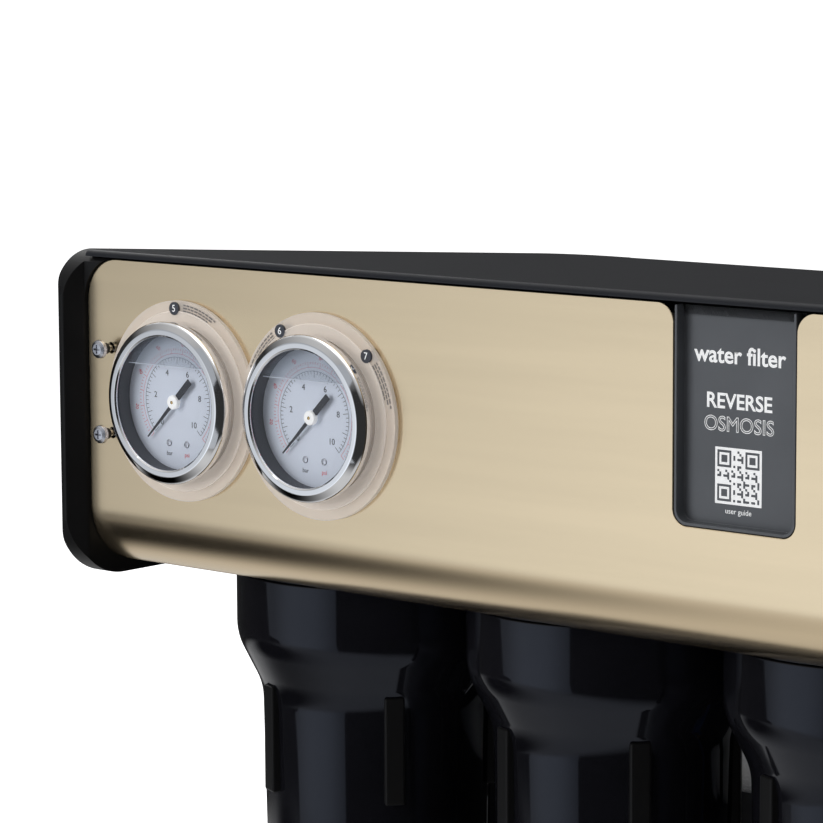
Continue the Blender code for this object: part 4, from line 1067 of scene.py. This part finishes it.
def make_membrane_stage():
    y, z = VESSEL_Y, VESSEL_Z
    spot = (0, y, z)
    inlet = (VESSEL_IN_X, y, 0)
    profile = [(0, -173), (24, -171, 4), (36, -164, 6), (42, -150, 8), (42, 148, 0.5), (38.3, 148, 0.3)]
    profile += [(38.3, -148, 2), (33, -160, 3), (0, -166)]
    vessel = turned("membrane_vessel_tube", profile, "X", spot, 128, seg=6)
    join(vessel, rod("boss", "Z", inlet, 9, z - 54, z - 39.5, 48, 0.8))
    cut(vessel, rod("bore", "Z", inlet, BORE_R, z - 60, z - 30))
    fixed(vessel, "vessel_white", "membrane_vessel", angle=30)

    def rib():
        shape = block("rib", (-170, -152), (-1.1, 1.1), (24, 40.5), 0.5)
        return cut(shape, block("slope", (-190, -160), (-3, 3), (38, 60)))

    fixed(merged("membrane_vessel_ribs", spokes(12, rib, spot, "X", 15)), "vessel_white")
    profile = [(0, 151), (38, 151), (38, 149, 0.2), (42.4, 149, 0.2), (42.4, 126, 0.4), (45.6, 126, 0.8)]
    profile += [(45.6, 154, 2), (42, 160, 2.5), (0, 160)]
    cap = turned("vessel_cap_nut", profile, "X", spot, 128, seg=5)
    for port_y in (VESSEL_Y, DRAIN_Y):
        join(cap, rod("boss", "X", (0, port_y, z), 9, 155, 168, 48, 0.7))
        cut(cap, rod("bore", "X", (0, port_y, z), BORE_R, 145, 172))
    fixed(cap, "vessel_white", "vessel_cap", angle=30)
    grips = spokes(36, lambda: block("grip", (128, 153), (-1.5, 1.5), (44.6, 46.6), 0.6), spot, "X")
    fixed(merged("vessel_cap_grips", grips), "vessel_white")
    dress("membrane_element", "membrane_wrap")
    make_cradle(y, z)


def make_cradle(y, z):
    """Plate on the back with two straps round the vessel."""
    back = span("vessel_cradle")[1][1]
    outline = rectangle((-112, 112), (z - 26, z + 26), 4)
    plate = flat("vessel_cradle_plate", outline, "Y", back - 2, back, soft=0.4)
    fixed(plate, "moulded_cheek", "vessel_cradle")
    for name, x in (("left", -90), ("right", 90)):
        strap = sleeve(f"vessel_strap_{name}", "X", (0, y, z), 42.3, 46.2, x - 9, x + 9, 96, 0.8)
        leg = block("leg", (x - 9, x + 9), (y + 36, back - 1), (z - 20, z + 20), 0.6)
        join(strap, cut(leg, rod("room", "X", (0, y, z), 44.5, x - 12, x + 12, 96)))
        fixed(strap, "moulded_cheek", angle=30)
        for dz in (-23, 23):
            cap_screw(f"cradle_bolt_{name}_{dz + 23}", "Y", (x, back - 2, z + dz), 3.2, 2.6, -1)


# Booster pump ---------------------------------------------------------------


def make_motor(y, z):
    spot = (0, y, z)
    profile = [(0, -80), (36, -80, 0.5), (36, -74, 1), (45, -70, 3), (45, 98, 1.2), (43.5, 99.5, 0.5)]
    profile += [(30, 99.5, 0.4), (30, 97.5, 0.3), (42.5, 97.5, 0.3), (42.5, 72, 1), (4.4, 72, 0.4)]
    profile += [(4.4, 50), (0, 50)]
    motor = turned("pump_motor_can", profile, "X", spot, 96, seg=4)
    slots = []
    for step in range(12):
        slots.append(rod("slot", "X", (0, *on_circle(y, z, 44, 15 + 30 * step)), 3.4, 78, 92, 16))
    cut(motor, merged("slots", slots))
    fixed(motor, "motor_paint", "pump_motor", angle=30)
    # Fins on both sides only: the terminal box is on top, and the bracket underneath
    fins = []
    for angle in (126, 108, 90, 72, 54, -54, -72, -90, -108, -126):
        fin = block("fin", (-56, 62), (-0.9, 0.9), (44.2, 47.2), 0.4)
        fins.append(placed(fin, spot, "X", angle))
    fixed(merged("pump_motor_fins", fins), "motor_paint")
    fixed(block("pump_terminal_box", (-45, 15), (y - 24, y + 24), (z + 40, z + 60), 3, 4), "motor_paint")
    for k, (x, dy) in enumerate(((-40, -19), (-40, 19), (10, -19), (10, 19))):
        cap_screw(f"terminal_screw_{k}", "Z", (x, y + dy, z + 60), 2.6, 1.6)
    seam = block("terminal_box_seam", (-45.3, 15.3), (y - 24.3, y + 24.3), (z + 52, z + 53.2), 0.4)
    fixed(seam, "rubber")
    guard = [sleeve("hoop", "X", spot, r - 0.7, r + 0.7, 97.8, 99.2, 72, 0.4) for r in (12, 19, 26, 33)]
    for step in range(4):
        guard.append(placed(block("spoke", (97.9, 99.1), (-34, 34), (-0.9, 0.9), 0.3), spot, "X", 45 * step))
    guard.append(rod("button", "X", spot, 6, 97.6, 99.6, 32, 0.4))
    fixed(merged("pump_fan_guard", guard), "zinc_screw")


def make_fan(y, z):
    spot = (0, y, z)
    profile = [(0, 52), (4, 52, 0.3), (4, 75, 0.3), (11, 75, 1), (11, 92, 2), (0, 92)]
    show(turned("pump_fan_hub", profile, "X", spot, 48), "fan_plastic", "fan", "pump_fan")
    blade_x = 82.5

    def blade():
        shape = block("blade", (76 - blade_x, 89 - blade_x), (8, 38), (-0.8, 0.8), 0.4)
        return placed(shape, (blade_x, 0, 0), "Y", 14)

    show(merged("pump_fan_blades", spokes(6, blade, spot, "X")), "fan_plastic", "fan")


def make_pump_head(y, z):
    spot = (0, y, z)
    profile = [(0, -152), (26, -152, 2), (30, -147, 2), (30, -98, 1), (34.2, -96, 1)]
    profile += [(34.2, -81, 0.6), (0, -80.6)]
    head = turned("pump_head_body", profile, "X", spot, 96, seg=4)
    nuts = []
    for x in (PUMP_IN_X, PUMP_OUT_X):
        join(head, rod("boss", "Z", (x, y, 0), 9, z + 15, z + 42, 48, 0.6))
        cut(head, rod("bore", "Z", (x, y, 0), BORE_R, z + 22, z + 50))
        nuts.append(sleeve("nut", "Z", (x, y, 0), 5.2, 8.4, z + 42, z + 49, 6))
    fixed(head, "brass", "pump_head", angle=30)
    fixed(soften(merged("pump_port_nuts", nuts), 0.5, 2), "brass")
    band = [(34.4, -97), (36.4, -94), (36.4, -83), (34.4, -80.6)]
    fixed(turned("pump_clamp_band", band, "X", spot, 96, ring=True, fillet=0.5), "zinc_screw")
    fixed(block("pump_clamp_lug", (-93, -84), (y + 33, y + 44), (z - 6, z + 6), 1), "zinc_screw")
    hexagon("pump_relief_plug", "X", spot, 0, 8, -156.5, -151.8, "brass", 0.6)
    for step in range(6):
        at = (-152, *on_circle(y, z, 19.5, 60 * step + 30))
        cap_screw(f"pump_head_bolt_{step}", "X", at, 2.6, 2.4, -1)


# Side fittings --------------------------------------------------------------


def through_wall(radius):
    """The part of a fitting's profile that is clamped on the right side panel."""
    return [(radius, WALL_IN, 0.4), (8, WALL_IN, 0), (8, WALL_OUT, 0), (radius, WALL_OUT, 0.4)]


def make_feed_valve():
    x, y, z = FEED_X, FEED_Y, FEED_Z
    profile = [(5.1, 156), (8, 156, 0.6), (8, 176, 0.5), (10.6, 178, 0.6)] + through_wall(12)
    profile += [(12, 197, 0.6), (10.4, 199, 0.6), (10.4, 212, 0.6), (12, 214, 0.6), (12, 221, 0.8)]
    profile += [(11, 222.5, 0.4), (5.1, 222.5, 0.3)]
    body = turned("feed_valve_barrel", profile, "X", (0, y, z), 64, ring=True, seg=3)
    join(body, rod("neck", "Z", (x, y, 0), 5, z + 8, z + 17, 40, 0.4))
    fixed(body, "brass", "feed_valve_body", angle=30)
    hexagon("feed_valve_hex", "X", (0, y, z), 11.9, 13.2, 214.5, 221, "brass")
    seat = span("feed_valve_lever")[2][0]
    hub = [(0, seat), (7, seat), (7, seat + 4), (5, seat + 6.5), (0, seat + 6.5)]
    hub = turned("feed_lever_hub", hub, "Z", (x, y, 0), 48)
    show(hub, "handle_blue", "feed_handle", "feed_valve_lever")
    edge = [(-13.5, -2, 2), (-4, -3.6, 3), (4, -3.6, 3), (13.5, -2, 2)]
    edge += [(-dx, -dy, radius) for dx, dy, radius in edge]
    wing = rounded([(x + dx, y + dy, radius) for dx, dy, radius in edge])
    show(flat("feed_lever_wings", wing, "Z", seat + 1, seat + 9, soft=0.8), "handle_blue", "feed_handle")
    cap_screw("feed_lever_screw", "Z", (x, y, seat + 9), 2.6, 1.2, rides="feed_handle")


def make_drain_valve():
    x, y, z = DRAIN_X, DRAIN_Y, DRAIN_Z
    spot = (x, y, 0)
    low, high = z - 32, z + 11
    profile = [(0, 171), (7, 171, 0.5), (7, 177, 0.5), (11, 178, 0.6)] + through_wall(11)
    profile += [(11, 196, 0.6), (7, 197, 0.6), (7, x), (0, x)]
    body = turned("drain_valve_arm", profile, "X", (0, y, z), 56, seg=3)
    join(body, rod("barrel", "Z", spot, 9, low, high, 64, 0.6))
    cut(body, rod("bore", "X", (0, y, z), 5.1, 165, 182))
    cut(body, rod("bore", "Z", spot, 4.2, low - 5, z + 1), "MANIFOLD")
    cut(body, rod("stem", "Z", spot, 3.4, high - 5, high + 5), "MANIFOLD")
    fixed(body, "brass", "drain_valve_body", angle=30)
    hexagon("drain_valve_collar", "Z", spot, 8.9, 10.4, low + 4, low + 11, "brass")
    seat = high + GAP
    profile = [(0, high - 4.5), (3, high - 4.5), (3, seat, 0.1), (8.6, seat, 0.5), (8.6, seat + 11, 1)]
    profile += [(7.6, seat + 12.8, 1), (0, seat + 13)]
    show(turned("drain_knob_core", profile, "Z", spot, 64), "handle_blue", "drain_knob", "drain_valve_knob")
    height = (seat + 0.4, seat + 11.4)
    grips = spokes(18, lambda: block("grip", (7.9, 9.5), (-0.8, 0.8), height, 0.35), spot, "Z")
    show(merged("drain_knob_grips", grips), "handle_blue", "drain_knob")
    pointer = block("drain_knob_pointer", (x - 0.6, x + 0.6), (y - 7, y - 1), (seat + 12.6, seat + 13.6), 0.2)
    show(pointer, "print_white", "drain_knob")


def make_power_inlet():
    """Appliance inlet and the housing of its switch, through the left side panel."""
    (outer, _), (near, far), (low, high) = span("power_inlet")
    socket = [(88.5, 128.5, 1), (111.5, 128.5, 1), (111.5, 144, 3)]
    socket += [(108, 147, 2), (92, 147, 2), (88.5, 144, 3)]
    openings = [rounded(socket, 4), rectangle((92, 108), (153.5, 172), 0.8, 4)]
    flange = rectangle((near, far), (low, high), 3)
    plate = flat("power_inlet_plate", flange, "X", outer, -WALL_OUT, openings, soft=0.5)
    fixed(plate, "inlet_plastic", "power_inlet")
    body = rectangle((86, 114), (125, 175), 1)
    fixed(flat("power_inlet_shell", body, "X", outer + 2, -172.2, openings, soft=0.2), "inlet_plastic")
    fixed(flat("power_inlet_rear", body, "X", -172.4, -166, soft=0.4), "inlet_plastic")
    for k, (y, z) in enumerate(((93.5, 136), (106.5, 136), (100, 142))):
        fixed(block(f"inlet_pin_{k}", (-190, -172), (y - 1, y + 1), (z - 2.5, z + 2.5), 0.3), "zinc_screw")
    for k, z in enumerate((low + 2.6, high - 2.6)):
        cap_screw(f"inlet_screw_{k}", "X", (outer, 100, z), 2.0, 1.0, -1)
    tabs = []
    for y, z in ((94, 158), (106, 158), (94, 168), (106, 168)):
        tabs.append(block("tab", (-166.2, -160), (y - 0.4, y + 0.4), (z - 2.4, z + 2.4)))
    fixed(merged("inlet_tabs", tabs), "brass")


def make_rocker():
    """Rocker in its off position, which is the CAD's rest pose, with a ring and a bar on it."""
    pivot = (-191.0, 0, 162.75)
    lean = -8
    profile = [(-4.6, -8.2, 0.5), (-1.6, 0, 5), (-4.6, 8.2, 0.5), (2.5, 8.2, 0.4), (3.5, 3.5, 0.8)]
    profile += [(3.5, -3.5, 0.8), (2.5, -8.2, 0.4)]
    paddle = flat("rocker_paddle", rounded(profile, 5), "Y", 92.8, 107.2, soft=0.4)
    show(placed(paddle, pivot, "Y", lean), "rocker_red", "rocker", "rocker_switch")
    circle = [(u, 0, v) for u, v in arc(0, 0, 1.8, 0, 360, 16)]
    ring = placed(tube("ring", circle, 0.25, 1), (-3.5, 100, -5), "Z", 70)
    bar = block("bar", (-3.75, -3.3), (99.7, 100.3), (3, 6.6), 0.1)
    show(placed(merged("rocker_marks", [ring, bar]), pivot, "Y", lean), "print_white", "rocker")


# Tubes ----------------------------------------------------------------------


def collet(name, axis, spot, low, high):
    """Release collar where a tube enters a port."""
    fixed(sleeve(name, axis, spot, 4.85, 8.2, low, high, 48, 0.6), "inlet_plastic")


def make_port_line(name, side, path):
    """Blue tube from the outer port of the first or last filter head, with the collar at the port."""
    x = side * (BOWLS[3][0] + 53)
    y = BOWLS[1][1]
    turn_x = side * 206
    start = [(x + side * 8, y, PORT_Z), (turn_x, y, PORT_Z), (turn_x, 2, PORT_Z)]
    fixed(tube(f"{name}_tube", bend(start + path, 12), TUBE_R, 4), "tube_blue", name)
    low, high = sorted((x, side * 200))
    hexagon(f"{name}_collar", "X", (0, y, PORT_Z), 0, 10.2, low, high, "inlet_plastic", 0.6)


def make_lines():
    x = 136
    path = [(x, 2, PORT_Z), (x, 2, FEED_Z), (x, FEED_Y, FEED_Z), (164, FEED_Y, FEED_Z)]
    make_port_line("feed_line", 1, path)
    collet("feed_collet", "X", (0, FEED_Y, FEED_Z), 150, 156.2)
    x, y = PUMP_IN_X, PUMP_Y
    make_port_line("prefiltered_line", -1, [(x, 2, PORT_Z), (x, 2, 180), (x, y, 180), (x, y, 112)])
    collet("pump_inlet_collet", "Z", (x, y, 0), 131.2, 137)
    x = PUMP_OUT_X
    path = [(x, y, 112), (x, y, 150), (x, VESSEL_Y, 150)]
    path += [(VESSEL_IN_X, VESSEL_Y, 150), (VESSEL_IN_X, VESSEL_Y, 211)]
    fixed(tube("pressure_line_tube", bend(path, 11), TUBE_R, 4), "tube_white", "pressure_line")
    collet("pump_outlet_collet", "Z", (x, y, 0), 131.2, 136)
    collet("vessel_inlet_collet", "Z", (VESSEL_IN_X, VESSEL_Y, 0), 195, 200.8)
    spot = (0, VESSEL_Y, VESSEL_Z)
    profile = [(0, 156), (TUBE_R, 156, 0), (TUBE_R, 177, 0.3), (9, 178, 0.8), (11, 181, 0.8)]
    profile += through_wall(11) + [(11, 196, 0.8), (8, 199, 0.6), (8, 216, 0.6), (TUBE_R, 216, 0.3)]
    profile += [(TUBE_R, 200), (0, 200)]
    fixed(turned("permeate_bulkhead", profile, "X", spot, 64), "tube_white", "permeate_line")
    hexagon("permeate_nut", "X", spot, 8, 12.4, WALL_OUT + 0.1, 196, "tube_white")
    drain = rod("drain_line_tube", "X", (0, DRAIN_Y, DRAIN_Z), TUBE_R, 156, 180, 48, 0.2)
    fixed(drain, "tube_white", "drain_line")
    cable = bend([(-164, 100, 158), (-86, 100, 158), (-60, 74, 158), (-60, 74, 132), (-44.5, 74, 132)], 8)
    fixed(tube("mains_cable", cable, 3.2, 3), "rubber")
    gland = [(0, -52), (5.5, -52), (6.5, -44.6), (0, -44.6)]
    fixed(turned("cable_gland", gland, "X", (0, 74, 132), 12, fillet=0.3), "inlet_plastic")


# Stage ----------------------------------------------------------------------


def pool(tree, centre, reach, near, far, low, high):
    """Value over a flat piece that goes from low inside an ellipse to high outside it, in metres."""
    place = add(tree, "TexCoord", {}).outputs["Object"]
    inputs = {"Location": (*centre, 0), "Scale": (*reach, 1), "Vector": place}
    shape = add(tree, "Mapping", inputs, vector_type="TEXTURE")
    away = add(tree, "VectorMath", {0: shape.outputs["Vector"]}, operation="LENGTH").outputs["Value"]
    return remap(tree, away, low, high, near, far, interpolation_type="SMOOTHSTEP")


def make_floor():
    floor = disc("floor", 60.0, 96)
    made = surface("floor", (0.82, 0.82, 0.83), 0.6, tint=0.01, blotch=3.0, grit=200.0)
    tree = made.node_tree
    shader = tree.nodes["Principled BSDF"]
    path = add(tree, "LightPath", {})
    seen = times(tree, path.outputs["Is Camera Ray"], pool(tree, (0, 0), (1, 1), 0.35, 1.0, 0.45, 1.0))
    tree.links.new(seen, shader.inputs["Emission Strength"])
    shader.inputs["Emission Color"].default_value = (1, 1, 1, 1)
    floor.data.materials.append(made)
    floor.visible_glossy = False


def mirror_card(name, card, colour):
    """Make a flat piece into a glowing screen that only mirrors see."""
    made = bpy.data.materials.new(name)
    made.use_nodes = True
    tree = made.node_tree
    clear = add(tree, "BsdfTransparent", {}).outputs["BSDF"]
    glow = add(tree, "Emission", {"Color": (*colour, 1)})
    mix = add(tree, "MixShader", {"Fac": 1.0, 1: clear, 2: glow.outputs["Emission"]})
    tree.links.new(mix.outputs["Shader"], tree.nodes["Material Output"].inputs["Surface"])
    made.cycles.emission_sampling = "NONE"
    card.data.materials.append(made)
    for kind in ("camera", "diffuse", "transmission", "volume_scatter", "shadow"):
        setattr(card, f"visible_{kind}", False)
    return tree, glow, mix


def make_pool():
    """What mirrors see of the floor: a bright pool under the unit with a dark stripe in front."""
    card = disc("pool", 0.8, 64)
    card.location = (-0.35, -0.1, 0.0005)
    tree, glow, mix = mirror_card("pool", card, (1, 1, 1))
    stripe = pool(tree, (-0.34, -0.28), (0.61, 0.36), 0.34, 1.0, 0.0, 0.6)
    tree.links.new(stripe, glow.inputs["Strength"])
    tree.links.new(pool(tree, (0, 0), (0.8, 0.8), 0.7, 1.0, 1.0, 0.0), mix.inputs["Fac"])


def make_world():
    """White behind the unit; what lights and mirrors see is dark low down and grey overhead."""
    world = bpy.data.worlds.new("studio")
    world.use_nodes = True
    tree = world.node_tree
    back = tree.nodes["Background"]
    back.inputs["Color"].default_value = (1, 1, 1, 1)
    place = add(tree, "TexCoord", {}).outputs["Generated"]
    height = add(tree, "SeparateXYZ", {"Vector": place}).outputs["Z"]
    path = add(tree, "LightPath", {})
    overhead = remap(tree, path.outputs["Is Glossy Ray"], 0.3, 0.8)
    around = remap(tree, height, 0.03, overhead, 0.25, 0.8)
    tree.links.new(remap(tree, path.outputs["Is Camera Ray"], around, 1.0), back.inputs["Strength"])
    bpy.context.scene.world = world


def make_reflector():
    """Soft white screen in front, from its left end to its right one; only mirrors see it."""
    left, right = (Vector(end) for end in REFLECTOR)
    wide = (right - left).length
    outline = [(0.55, -0.6, 0), (wide, -0.6, 0), (wide, 1.3, 0.1), (0, 1.3, 0.1)]
    outline += [(0, 0.02, 0.1), (0.55, -0.16, 0.1)]
    outline = rounded([(u / MM, v / MM, r / MM) for u, v, r in outline])
    card = flat("reflector", outline, "Y", 0, 1)
    turn = math.atan2(right.y - left.y, right.x - left.x)
    card.matrix_world = Matrix.Translation((*left, 0)) @ Matrix.Rotation(turn, 4, "Z")
    tree, glow, _ = mirror_card("reflector", card, (0.88, 0.93, 1.0))
    tree.links.new(pool(tree, (1.25, 0.3), (1.0, 1.6), 0.2, 1.0, 1.08, 0.45), glow.inputs["Strength"])


# Place, aim and size in metres, power in watts, and whether mirrors see the lamp
SOFTBOXES = {
    "key": ((-1.0, -2.2, 0.95), (0, -0.1, 0.35), (1.5, 1.3), 26, False),
    "top": ((0.1, -0.2, 2.3), (0, 0, 0.3), (2.2, 2.0), 14, True),
    "right": ((1.2, 1.9, 1.3), (0, 0, 0.3), (1.0, 1.2), 7, True),
    "left": ((-2.0, 0.7, 1.3), (0, 0, 0.3), (1.2, 1.2), 6, True),
}


def make_softbox(name, place, aim, size, power, mirrored):
    """Area lamp turned to face a point."""
    lamp = bpy.data.lights.new(name, "AREA")
    lamp.shape = "RECTANGLE"
    lamp.size, lamp.size_y = size
    lamp.energy = power
    made = link(name, lamp)
    made.location = place
    made.rotation_euler = (Vector(aim) - Vector(place)).to_track_quat("-Z", "Y").to_euler()
    made.visible_glossy = mirrored


def make_camera():
    data = bpy.data.cameras.new("camera")
    data.sensor_width = 36.0
    data.lens = CAMERA_LENS
    data.clip_start = 0.05
    made = link("camera", data)
    yaw, pitch, roll = (math.radians(angle) for angle in CAMERA_TURN)
    turn = Matrix.Rotation(yaw, 4, "Z") @ Matrix.Rotation(math.pi / 2 + pitch, 4, "X")
    made.matrix_world = Matrix.Translation(CAMERA_SPOT) @ turn @ Matrix.Rotation(roll, 4, "Z")
    bpy.context.scene.camera = made


make_cheek(-1, "cheek_left")
make_cheek(1, "cheek_right")
make_cover()
make_front_panel()
make_label()
make_ring_plate()
make_panel_screws()
for gauge in SIDES:
    make_gauge(gauge)
for bowl in BOWLS:
    make_head(bowl)
    make_bowl(bowl)
dress("link_nipple_left", "brass")
dress("link_nipple_right", "brass")
make_tray()
make_feet()
make_back_plate()
make_side_panel(-1, "side_panel_left")
make_side_panel(1, "side_panel_right")
make_rail()
make_membrane_stage()
make_motor(PUMP_Y, PUMP_Z)
make_fan(PUMP_Y, PUMP_Z)
make_pump_head(PUMP_Y, PUMP_Z)
dress("pump_bracket", "rubber")
make_feed_valve()
make_drain_valve()
make_power_inlet()
make_rocker()
make_lines()

make_floor()
make_world()
make_pool()
make_reflector()
for softbox, settings in SOFTBOXES.items():
    make_softbox(softbox, *settings)
make_camera()
bpy.context.scene.view_settings.view_transform = "Standard"
